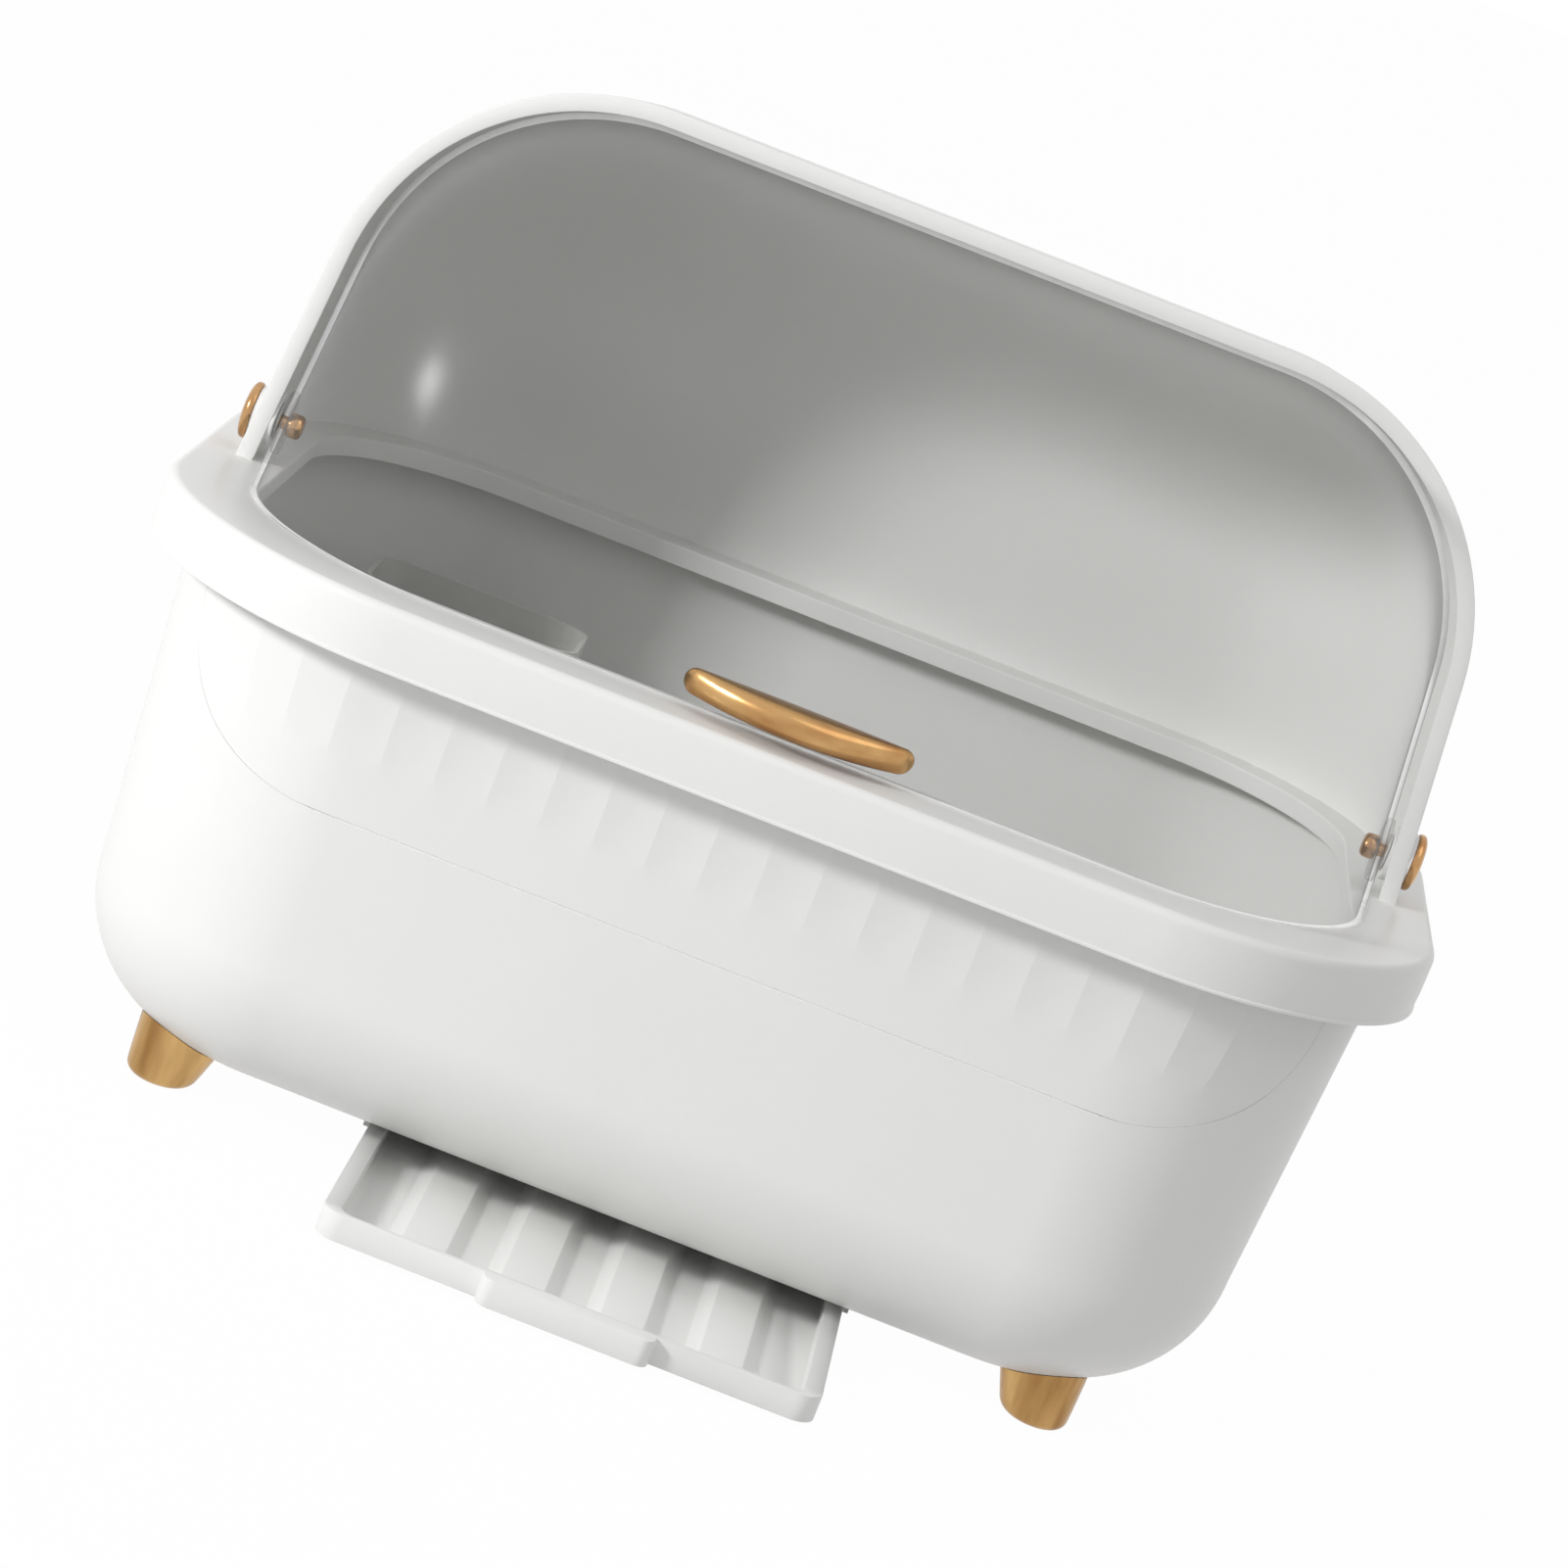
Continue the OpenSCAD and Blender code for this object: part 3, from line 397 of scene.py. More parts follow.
def turned(bm, profile, centre, axis, steps=48):
    """Spins a profile of (distance along the axis, radius) round the axis."""
    ahead = Vector(axis)
    out = ahead.orthogonal().normalized()
    wire = [bm.verts.new(Vector(centre) + ahead * a + out * r) for a, r in profile]
    edges = [bm.edges.new(pair) for pair in zip(wire, wire[1:])]
    bmesh.ops.spin(
        bm, geom=wire + edges, cent=centre, axis=axis, dvec=(0, 0, 0), angle=math.tau,
        steps=steps, use_merge=True, use_duplicate=False,
    )
    bmesh.ops.remove_doubles(bm, verts=bm.verts, dist=MERGE)


print("the lathe is ready")

# %% [markdown]
# ## The tub's form
# The tub is the hardest piece. Its corners share one centre line at every height, so a level
# is told by one number, the inset from the rim: the wall leans in by 3.9 degrees on its way
# down and ends in a round of 62 mm. A panel covers the front and runs on round both corners.
# A fine groove is drawn round it, straight below and rising at each end along a quarter of
# an ellipse. In the panel stand 21 shallow flutes with sharp ridges between them. A ridge's
# left flank catches the light and its right flank doesn't, and the flutes fade out before
# they reach the groove.

# %% Levels of the tub
CORNER = Vector((160.0, 67.5))
RIM_Z, FLOOR_Z, RIM_R = 240.0, 17.0, 104.0
ROUND, TUB_WALL = 62.0, 2.5
ROUND_TOP = FLOOR_Z + ROUND
LEAN = math.tan(math.radians(3.9))
PANEL_Z, PANEL_DEEP, PANEL_HALF, PANEL_EDGE = 148.6, 0.2, 259.0, 1.6
GROOVE_DEEP, GROOVE_HALF = 0.6, 0.5
END_WIDE, END_TALL, END_STEPS = 90.0, 60.0, 16
FLUTES, FLUTE_FIRST, FLUTE_PITCH = 21, -240.0, 22.6
FLUTE_DEEP, FLUTE_END, FLUTE_FULL, FADE_STEPS = 0.45, 164.6, 184.6, 8
BELOW_PANEL, BEHIND_PANEL = (30.0, 2.4, GROOVE_HALF), 2.1


def lean_in(z):
    return (RIM_Z - max(z, ROUND_TOP)) * LEAN


def narrowing(z):
    """How much shorter than at the rim half the panel is at a height."""
    rise = max(0.0, PANEL_Z + END_TALL - max(z, PANEL_Z)) / END_TALL
    return END_WIDE * (1 - math.sqrt(1 - rise * rise))


def round_levels(wall, steps):
    """Levels of the round from the floor up, for a skin that lies inside by a wall."""
    radius = ROUND - wall
    for i in range(steps + 1):
        a = math.pi / 2 * i / steps
        yield lean_in(0) + ROUND - radius * math.sin(a), ROUND_TOP - radius * math.cos(a), 0, 0


def front_levels():
    """Levels of the upright wall: inset, height, share of the panel, share of the flutes."""
    for drop in BELOW_PANEL:
        yield lean_in(PANEL_Z - drop), PANEL_Z - drop, 0, 0
    yield lean_in(PANEL_Z), PANEL_Z, GROOVE_DEEP / PANEL_DEEP, 0
    yield lean_in(PANEL_Z + GROOVE_HALF), PANEL_Z + GROOVE_HALF, 1, 0
    turns = [math.pi / 2 * i / END_STEPS for i in range(2, END_STEPS + 1)]
    ends = [PANEL_Z + END_TALL * (1 - math.cos(a)) for a in turns]
    fade = [FLUTE_END + (FLUTE_FULL - FLUTE_END) * i / FADE_STEPS for i in range(FADE_STEPS + 1)]
    for z in sorted(ends + fade):
        share = max(0.0, min(1.0, (z - FLUTE_END) / (FLUTE_FULL - FLUTE_END)))
        yield lean_in(z), z, 1, share * share * (3 - 2 * share)
    yield 0.0, RIM_Z, 1, 1


outside = list(round_levels(0, 30)) + list(front_levels())
inside = [(TUB_WALL + BEHIND_PANEL, RIM_Z, 0, 0)] + list(round_levels(TUB_WALL, 24))[::-1]
print(len(outside), "levels outside,", len(inside), "inside")

# %% [markdown]
# ## Places along the front
# The front and its two corners are measured as one band: a place on it is the distance
# along the rim from the middle. Towards the panel's lower edge the places near its ends are
# drawn in, so that a column of points follows the curved end, and the places beyond spread
# out to fill the rest of the corner.

# %% From a place to a point


def from_corner(x, y):
    """Nearest point of the line on which the corner centres lie."""
    return Vector((max(-CORNER.x, min(CORNER.x, x)), max(-CORNER.y, min(CORNER.y, y))))


def along(x, y):
    """Distance along the rim from the middle of the front."""
    turn = math.atan2(max(0.0, abs(x) - CORNER.x), -y - CORNER.y)
    return math.copysign(min(abs(x), CORNER.x) + RIM_R * turn, x)


def band_point(place, radius):
    """The point at a place of the front's band, for corners of that radius."""
    side = math.copysign(1, place)
    turn = max(0.0, abs(place) - CORNER.x) / RIM_R
    x = min(abs(place), CORNER.x) + radius * math.sin(turn)
    return side * x, -CORNER.y - radius * math.cos(turn)


BAND_HALF = along(CORNER.x + RIM_R, -CORNER.y)
OUTSIDE, GROOVE = -1, -0.5
PULL_REACH, PULL_LIMIT, PULL_SLACK = 130.0, 8.0, 0.05


def drawn_in(place, narrow):
    """Moves a place inwards where the panel is narrower, most of all near its ends."""
    side, far = math.copysign(1, place), abs(place)
    if far <= PANEL_HALF + PULL_SLACK:
        power = min(PULL_LIMIT, PULL_REACH / max(narrow, 1.0))
        return side * (far - narrow * (far / PANEL_HALF) ** power)
    share = (far - PANEL_HALF) / (BAND_HALF - PANEL_HALF)
    return side * (PANEL_HALF - narrow + (BAND_HALF - PANEL_HALF + narrow) * share)


def tub_point(spot, level):
    """A point of the rim's outline, carried to another level."""
    inset, z, panel, flute = level
    x0, y0, relief = spot
    radius = RIM_R - inset
    if y0 < -CORNER.y:
        deep = panel * PANEL_DEEP + flute * FLUTE_DEEP * relief if relief >= 0 else 0.0
        if relief == GROOVE and panel:
            deep = GROOVE_DEEP
        place = drawn_in(along(x0, y0), narrowing(z))
        return Vector((*band_point(place, radius - deep), z))
    centre = from_corner(x0, y0)
    return Vector((*(centre + (Vector((x0, y0)) - centre).normalized() * radius), z))


print("half of the front's band is", round(BAND_HALF, 1), "mm long")

# %% [markdown]
# ## Cutting the flutes
# The ring begins as the rim's outline. Planes cut its front edges at each ridge and five
# times in each flute, and a layer keeps for every point how deep its flute is there, or that
# it lies in the groove or outside. The walk then carries these points up the wall outside
# and down again inside.

# %% The ring with its cuts
CUTS_A_FLUTE = 6


def cut_ring(bm, x):
    """Splits the front of the ring in the plane across x."""
    edges = [e for e in bm.edges if all(v.co.y < -CORNER.y for v in e.verts)]
    points = list(dict.fromkeys(v for e in edges for v in e.verts))
    bmesh.ops.bisect_plane(
        bm, geom=edges + points, dist=0.0001, plane_co=(x, 0, 0), plane_no=(1, 0, 0)
    )


def relief_at(place):
    """Depth share of the flute at a place, or a mark for the groove and for the outside."""
    edge = PANEL_HALF - abs(place)
    if edge < PANEL_EDGE * 0.75:
        return GROOVE if edge > PANEL_EDGE * 0.25 else OUTSIDE
    flute = (place - FLUTE_FIRST) / FLUTE_PITCH
    share = flute - math.floor(flute)
    return 4 * share * (1 - share) if 0 < flute < FLUTES else 0


places = [
    side * (PANEL_HALF - edge) for side in (-1, 1) for edge in (0, PANEL_EDGE / 2, PANEL_EDGE)
]
places += [
    FLUTE_FIRST + FLUTE_PITCH * i / CUTS_A_FLUTE for i in range(FLUTES * CUTS_A_FLUTE + 1)
]
bm, spot = started()
ring_only(bm, flat_outline(bm, CORNER.x + RIM_R, CORNER.y + RIM_R, RIM_R, 60))
for place in places:
    cut_ring(bm, band_point(place, RIM_R)[0])
for v in bm.verts:
    front = v.co.y < -CORNER.y
    v[spot] = (v.co.x, v.co.y, relief_at(along(v.co.x, v.co.y)) if front else OUTSIDE)
first = bm.edges[:]
last = walk(bm, first, spot, outside + inside, tub_point)
print(len(first), "points round the tub")

# %% [markdown]
# ## The tub's floor
# The floor has 15 drain holes: circles on both its faces, joined by tubes, and a fill that
# leaves them open. A boolean cut would do too, but it leaves long thin faces behind. The
# seats for the feet and for the runners' screws are turned and stand on the floor. A flute's
# ridge bends the wall by less than 8 degrees, so here edges are sharp from 4.5 degrees on.

# %% Tub
HOLE_PITCH, HOLE_FRONT, HOLE_R = 32.0, -16.0, 3.5
FOOT_X, FOOT_Y, RUNNER_X, RUNNER_Y = 192.5, 100.0, 115.35, 70.0
FOOT_SEAT = [(19, 0), (19, 7), (26.1, 7), (26.5, 6.6), (26.5, 0)]
RUNNER_SEAT = [(18, 0), (18, 5), (23.6, 5), (24, 4.6), (24, 0)]


def floor_holes(bm, z):
    """Circles of the drain holes in one face of the floor, five by three."""
    edges = []
    for column in range(-2, 3):
        for row in range(3):
            centre = Matrix.Translation((HOLE_PITCH * column, HOLE_FRONT - HOLE_PITCH * row, z))
            made = bmesh.ops.create_circle(bm, segments=20, radius=HOLE_R, matrix=centre)["verts"]
            edges += list(dict.fromkeys(e for v in made for e in v.link_edges))
    return edges


below = floor_holes(bm, FLOOR_Z)
above = floor_holes(bm, FLOOR_Z + TUB_WALL)
bmesh.ops.bridge_loops(bm, edges=below + above, use_pairs=True)
bmesh.ops.triangle_fill(bm, edges=first + below, use_beauty=True)
bmesh.ops.triangle_fill(bm, edges=last + above, use_beauty=True)
outwards(bm)
for x in (-1, 1):
    for y in (-1, 1):
        turned(bm, FOOT_SEAT, (x * FOOT_X, y * FOOT_Y, 0), (0, 0, 1))
        turned(bm, RUNNER_SEAT, (x * RUNNER_X, y * RUNNER_Y, 0), (0, 0, 1))
bmesh.ops.recalc_face_normals(bm, faces=bm.faces)
settle(bm, "tub_shell", "housing", ["tub"], shell_white, sharp=4.5)

# %% [markdown]
# ## The rim collar
# The collar is a hoop with one cross section all the way round: a skirt of 26 mm with a
# small lip at its foot, a rounded top edge, a flat flange of 38 mm and two thin lips below.
# The outer of these lips sits just inside the tub's rim and holds the collar there. The ring
# is walked up the skirt, inwards over the flange and back below it, and its two ends are
# bridged, which closes the hoop. The section is drawn as pairs of a distance inwards from
# the outer face and a height over the flange.

# %% Collar
COLLAR = Vector((280.0, 187.5))
COLLAR_R, COLLAR_Z = 120.0, 242.6


def ring_point(spot, section):
    """A point at a distance inwards from the collar's outer face, and a height."""
    inset, rise = section
    centre = from_corner(spot[0], spot[1])
    out = (Vector((spot[0], spot[1])) - centre).normalized()
    return Vector((*(centre + out * (COLLAR_R - inset)), COLLAR_Z + rise))


def quarter(inset, rise, radius, start, steps):
    """Points of a rounded edge in the section, a quarter turn from start degrees."""
    for i in range(steps + 1):
        a = math.radians(start + 90 * i / steps)
        yield inset - radius * math.cos(a), rise + radius * math.sin(a)


skirt_lip = [(0.35, -26.0), (0.0, -25.7), (0.0, -24.9), (0.5, -24.4), (0.25, -20.4), (0, -16.4)]
top = list(quarter(4.0, -4.0, 4.0, 0, 8)) + list(quarter(37.0, -1.0, 1.0, 90, 4))
flange_lip = [(38, -8.7), (37.7, -9), (36.2, -9), (35.92, -8.7), (35.92, -2.6)]
holding_lip = [(23.72, -2.6), (23.72, -9), (21.64, -9), (21.64, -2.6)]
skirt_back = [(2.6, -2.6), (2.1, -25.7), (1.8, -26)]
section = skirt_lip + top + flange_lip + holding_lip + skirt_back
bm, spot = started()
first = ring_only(bm, flat_outline(bm, COLLAR.x, COLLAR.y, COLLAR_R, 40))
for v in bm.verts:
    v[spot] = v.co
last = walk(bm, first, spot, section, ring_point)
bmesh.ops.bridge_loops(bm, edges=first + last)
outwards(bm)
settle(bm, "collar_hoop", "housing", ["rim_collar"], shell_white, sharp=40)

# %% [markdown]
# ## Arches
# The hood and the lid are both an upturned U, seen from the front, that changes on its way
# back or forward. One wire serves both: three sides of a grid with bevelled upper corners.
# Each point keeps its side and its share of the corner's arc, and -1 stands for a foot. The
# sides lean in by 5.5 degrees, so the arc begins there and ends flat at the crown.

# %% The wire of an arch
SIDE_LEAN = math.radians(5.5)
FOOT_Z = 242.6


def arch_wire(bm, spot, steps):
    """Three sides of a grid as a wire, with its two upper corners bevelled."""
    corners = bmesh.ops.create_grid(bm, x_segments=1, y_segments=1, size=1)["verts"]
    bmesh.ops.bevel(
        bm, geom=[v for v in corners if v.co.y > 0], offset=0.5, offset_type="OFFSET",
        segments=steps, profile=0.5, material=-1, affect="VERTICES",
    )
    wire = ring_only(bm, bm.faces[:])
    base = [e for e in wire if all(v.co.y < -0.9 for v in e.verts)]
    bmesh.ops.delete(bm, geom=base, context="EDGES")
    for v in bm.verts:
        turn = math.atan2(v.co.y - 0.5, abs(v.co.x) - 0.5) / (math.pi / 2)
        v[spot] = (math.copysign(1, v.co.x), -1 if v.co.y < 0 else turn, 0)
    return bm.edges[:]


def arch_point(spot, y, half, foot, crown, radius):
    """One point of an arch, given half its width at the foot and its crown's height."""
    side, share, _ = spot
    if share < 0:
        return Vector((side * half, y, foot))
    a = SIDE_LEAN + (math.pi / 2 - SIDE_LEAN) * share
    rise = crown - radius
    centre = half - (radius + (rise - foot) * math.sin(SIDE_LEAN)) / math.cos(SIDE_LEAN)
    return Vector((side * (centre + radius * math.cos(a)), y, rise + radius * math.sin(a)))


def feet_closed(bm):
    """Fills the open foot of a shell, one loop of edges along both its skins."""
    open_edges = [e for e in bm.edges if e.is_boundary]
    filled = bmesh.ops.edgeloop_fill(bm, edges=open_edges)["faces"]
    bmesh.ops.triangulate(bm, faces=filled)


print("arches are ready")

# %% [markdown]
# ## The hood
# The hood is a shell of 2.5 mm that stands on the collar. Its mouth has a flat rim, 7.5 mm
# wide. From there its roof falls by 6 degrees towards the back, and roof and sides round off
# into the back wall with radii of 100 and 103 mm, while the upper corners get tighter.
# The arch walks in from the back along the outside, turns round the rim, and walks back
# along the inside. The bosses for the hinge pins are turned and stand in the side walls.

# %% Hood
HOOD_HALF, HOOD_BACK, HOOD_R, ROOF_R = 263.0, 170.5, 103.0, 100.0
ROOF_FALL = math.tan(math.radians(6))
HOOD_TOP, MOUTH_Y, HOOD_CORNER, HOOD_WALL, RIM_W = 445.25, -20.5, 116.0, 2.5, 7.5
CORNER_FADE, CORNER_LIMIT, HOOD_STEPS = 0.95, 0.94, 26
AXIS_Y, AXIS_Z = -8.5, 260.6
BOSS = [(252.17, 0), (252.17, 11.3), (252.57, 11.7), (262.17, 11.7), (262.57, 11.3), (262.57, 0)]


def shrink(radius, past):
    """How far a rounded end has drawn in, past the start of its round."""
    return radius - math.sqrt(max(0.0, radius ** 2 - max(0.0, past) ** 2))


def hood_point(spot, station):
    y, skin = station
    narrow = shrink(HOOD_R - skin, y - (HOOD_BACK - HOOD_R))
    lower = shrink(ROOF_R - skin, y - (HOOD_BACK - ROOF_R)) + (y - MOUTH_Y) * ROOF_FALL
    crown = HOOD_TOP - skin - lower
    radius = min(HOOD_CORNER - skin - narrow * CORNER_FADE, (crown - FOOT_Z) * CORNER_LIMIT)
    return arch_point(spot, y, HOOD_HALF - skin - narrow, FOOT_Z, crown, radius)


def hood_stations(skin):
    """Places from the straight part to the back wall, closer together at the end."""
    for i in range(HOOD_STEPS + 1):
        turn = math.pi / 2 * i / HOOD_STEPS
        yield HOOD_BACK - HOOD_R + (HOOD_R - skin) * math.sin(turn), skin


rim = [(5.5, 0), (0.7, 0), (0.2, 0.2), (0, 0.7)]
rim += [(0, RIM_W - 0.6), (0.2, RIM_W - 0.15), (0.6, RIM_W), (3, RIM_W), (5.5, HOOD_WALL)]
stations = list(hood_stations(0))[::-1] + [(MOUTH_Y + behind, skin) for behind, skin in rim]
stations += list(hood_stations(HOOD_WALL))
bm, spot = started()
first = arch_wire(bm, spot, 28)
last = walk(bm, first, spot, stations, hood_point)
cover(bm, first)
cover(bm, last)
feet_closed(bm)
outwards(bm)
for side in (-1, 1):
    turned(bm, BOSS, (0, AXIS_Y, AXIS_Z), (side, 0, 0))
bmesh.ops.recalc_face_normals(bm, faces=bm.faces)
settle(bm, "hood_shell", "housing", ["rear_hood"], shell_white, sharp=30)

# %% [markdown]
# ## The clear lid
# Seen from the side the lid is a quarter of an ellipse about the hinge, 151 mm forward and
# 176 mm up, so that it turns up and back just under the hood's rim and ends just off the
# back wall. Its rows stand on that quarter. Each row is an arch whose height falls towards
# the front, and whose width draws in round the plan's front corners. Two skins, 2.4 mm
# apart, make a real wall. Its cut faces, at the hood and at the foot, get the pale edge
# finish with its painted glow. A round ear stands at each side, for the pin.

# %% Lid
LID_HALF, LID_FRONT, LID_R, LID_BASE, LID_WALL = 252.5, -159.5, 92.0, 243.2, 2.4
LID_REACH, LID_RISE, LID_CORNER = AXIS_Y - LID_FRONT, 175.85, 0.55471
LID_END, LID_STEPS = AXIS_Y + 3, 40
EAR = [(247.57, 0), (247.57, 13.6), (247.97, 14), (250.17, 14), (250.57, 13.6), (250.57, 0)]


def lid_point(spot, station):
    y, crown, skin = station
    drop = shrink(LID_R - skin, LID_FRONT + LID_R - y)
    half = LID_HALF - skin - (AXIS_Y - y) * math.tan(SIDE_LEAN) - drop
    return arch_point(spot, y, half, LID_BASE, crown, LID_CORNER * (crown - LID_BASE))


def lid_rows(skin):
    """Rows of one skin from behind the hinge to the front: place, crown and skin."""
    reach, rise = LID_REACH - skin, LID_RISE - skin
    yield LID_END, AXIS_Z + rise, skin
    for i in range(LID_STEPS + 1):
        a = math.pi / 2 * i / LID_STEPS
        yield AXIS_Y - reach * math.sin(a), AXIS_Z + rise * math.cos(a), skin


bm, spot = started()
first = arch_wire(bm, spot, 24)
last = walk(bm, first, spot, list(lid_rows(0))[::-1] + list(lid_rows(LID_WALL)), lid_point)
cover(bm, first)
cover(bm, last)
feet_closed(bm)
outwards(bm)
for side in (-1, 1):
    turned(bm, EAR, (0, AXIS_Y, AXIS_Z), (side, 0, 0))
bmesh.ops.recalc_face_normals(bm, faces=bm.faces)
# Cut faces take the second material, the pale edge finish whose glow is painted.
for face in bm.faces:
    ends = all(abs(v.co.y - LID_END) < 0.01 for v in face.verts)
    feet = all(abs(v.co.z - LID_BASE) < 0.01 for v in face.verts)
    face.material_index = int(ends or feet)
lid = settle(bm, "lid_dome", "lid", ["clear_lid"], clear, sharp=30)
lid.data.materials.append(painted_glow_edge.material)

# %% [markdown]
# ## The handle
# The handle is a lens seen from above, 97.5 mm wide and 22 mm deep, with a full oval
# section that gets thinner towards the tips. A circle of points is walked from tip to tip,
# and both of its measures follow the lens.

# %% Handle
HANDLE_HALF, HANDLE_DEEP, HANDLE_THICK = 48.75, 22.0, 13.6
HANDLE_Z, HANDLE_GAP, HANDLE_STEPS = 254.1, 0.3, 44
TIP, THINNER, FULLNESS = 5.0, 0.25, 0.8


def fuller(part):
    """A sine or cosine pushed outwards, which turns an ellipse into a fuller oval."""
    return math.copysign(abs(part) ** FULLNESS, part)


def handle_point(spot, x):
    bow = (HANDLE_HALF ** 2 + HANDLE_DEEP ** 2) / (2 * HANDLE_DEEP)
    past = max(0.0, abs(x) - (HANDLE_HALF - TIP)) / TIP
    tip = math.sqrt(max(0.0, 1 - past ** 2))
    deep = (HANDLE_DEEP - x * x / (2 * bow)) * tip + HANDLE_GAP
    thick = HANDLE_THICK * (1 - THINNER * (x / HANDLE_HALF) ** 2) * max(tip, 0.05)
    y = LID_FRONT - HANDLE_GAP - deep / 2 + deep / 2 * fuller(spot[0])
    return Vector((x, y, HANDLE_Z + thick / 2 * fuller(spot[1])))


bm, spot = started()
bmesh.ops.create_circle(bm, cap_ends=False, radius=1, segments=40)
for v in bm.verts:
    v[spot] = v.co
first = bm.edges[:]
turns = [math.pi * i / HANDLE_STEPS for i in range(HANDLE_STEPS + 1)]
last = walk(bm, first, spot, [-HANDLE_HALF * math.cos(a) for a in turns], handle_point)
cover(bm, first)
cover(bm, last)
outwards(bm)
settle(bm, "handle_bar", "lid", ["lid_handle"], rose_gold, sharp=50)

# %% [markdown]
# ## Hinge pins and nuts
# Both are lathe work. A pin has a broad cap with a soft dome outside the hood, and a nut
# closes the pin inside the lid. A profile lists distances from the middle of the box with
# their radii, so one serves for both sides.

# %% Pins and nuts
PIN = [(242.77, 0), (242.77, 3), (262.57, 3), (262.57, 11.7), (262.8, 12.25), (263.37, 12.5)]
PIN += [(264.64, 12.5), (265.4, 12.2), (266.02, 11.4), (266.6, 10.2), (267.0, 8.6)]
PIN += [(267.12, 6), (267.17, 0)]
NUT = [(247.27, 3.1), (247.27, 5.2), (247.0, 5.4), (243.43, 5.4), (242.3, 5.15), (241.5, 4.6)]
NUT += [(241.05, 3.6), (240.9, 2.2), (240.87, 0)]


def on_the_hinge(side, profile, steps, name, node):
    """One turned piece about the hinge's axis, on one side."""
    bm = bmesh.new()
    turned(bm, profile, (0, AXIS_Y, AXIS_Z), (side, 0, 0), steps)
    bmesh.ops.recalc_face_normals(bm, faces=bm.faces)
    settle(bm, name, "housing", [node], rose_gold_pin, sharp=40)


for side, label in ((-1, "left"), (1, "right")):
    on_the_hinge(side, PIN, 64, f"pin_cap_{label}", f"hinge_pin_{label}")
    on_the_hinge(side, NUT, 48, f"nut_{label}", f"hinge_nut_{label}")

# %% [markdown]
# ## Feet
# A foot is no plain cone: it stands a little outwards, widens upwards, and its top lies on
# the round of the tub's corner. Its rounded end is spun and sheared, and its side is
# extruded from there ring by ring, each point towards its own height on the tub. The foot is
# wider there than below, so that height is guessed first and brought closer in a few tries.
# Mirroring turns two of the four inside out, so the normals are worked out last.

# %% The form of a foot
FOOT_R, FOOT_SPREAD, SPREAD_FROM, SPREAD_OVER = 15.4, 6.0, 5.0, 29.0
FOOT_OUT, FOOT_LEAN, FOOT_EDGE, FOOT_FLAT, FOOT_ROUND = 3.3, 0.15, 6.0, 8.8, 6.6
SEAT_GAP, EDGE_STEPS, EDGE_TURN, SIDE_STEPS, SIDE_FROM = 0.3, 8, math.pi / 18, 6, 7.0
TOP_GUESS, TRIES = 30.0, 12


def seat_height(x, y):
    """Height of the tub's rounded corner, seen from below, with the fitting gap."""
    out = math.hypot(x - CORNER.x, y - CORNER.y) - (RIM_R - lean_in(0) - ROUND)
    return ROUND_TOP - math.sqrt((ROUND + SEAT_GAP) ** 2 - max(0.0, out) ** 2)


def foot_ring(out, z):
    """A point of the foot's side: it widens upwards, and its lower end stands further out."""
    reach = FOOT_R + FOOT_SPREAD * (z - SPREAD_FROM) / SPREAD_OVER
    lean = FOOT_OUT - FOOT_LEAN * z
    return Vector((FOOT_X + lean, FOOT_Y + lean)) + out * reach


def foot_end():
    """Profile of the rounded lower end, from the floor up."""
    yield 0, 0
    yield 0, FOOT_FLAT
    for i in range(1, EDGE_STEPS + 1):
        a = EDGE_TURN * i
        yield FOOT_EDGE * (1 - math.cos(a)), FOOT_FLAT + FOOT_ROUND * math.sin(a)


print("a foot stands", FOOT_OUT, "mm outwards")

# %% Feet


def foot(side_x, side_y, label):
    """One foot, made for the back right corner and mirrored to its own."""
    bm = bmesh.new()
    centre = Vector((FOOT_X + FOOT_OUT, FOOT_Y + FOOT_OUT, 0))
    turned(bm, list(foot_end()), centre, (0, 0, 1), 64)
    shear = Matrix.Shear("XY", 4, (-FOOT_LEAN, -FOOT_LEAN))
    bmesh.ops.transform(bm, verts=bm.verts, matrix=shear)
    ring = [e for e in bm.edges if e.is_boundary]
    for step in range(1, SIDE_STEPS + 1):
        made = bmesh.ops.extrude_edge_only(bm, edges=ring)["geom"]
        raised = {v for v in made if isinstance(v, bmesh.types.BMVert)}
        ring = [e for e in made if isinstance(e, bmesh.types.BMEdge) and raised.issuperset(e.verts)]
        for v in raised:
            out = (v.co - centre).to_2d().normalized()
            top = TOP_GUESS
            for _ in range(TRIES):
                top = seat_height(*foot_ring(out, top))
            z = SIDE_FROM + (top - SIDE_FROM) * step / SIDE_STEPS
            v.co = Vector((*foot_ring(out, z), z))
    cover(bm, ring)
    tops = [f for f in bm.faces if len(f.verts) > 8 and f.calc_center_median().z > 9]
    bmesh.ops.poke(bm, faces=tops)
    bmesh.ops.scale(bm, verts=bm.verts, vec=(side_x, side_y, 1))
    bmesh.ops.recalc_face_normals(bm, faces=bm.faces)
    settle(bm, f"foot_{label}", "housing", [f"foot_{label}"], satin_gold, sharp=40)


foot(-1, -1, "front_left")
foot(1, -1, "front_right")
foot(-1, 1, "back_left")
foot(1, 1, "back_right")

# %% [markdown]
# ## A piece with many small edges
# The tray's ribs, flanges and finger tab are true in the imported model. What it lacks is the
# small round that a mould leaves on every edge. So it isn't made anew: a copy of the mesh is
# merged, its coplanar triangles are dissolved, and its sharp edges are bevelled.

# %% A softened copy


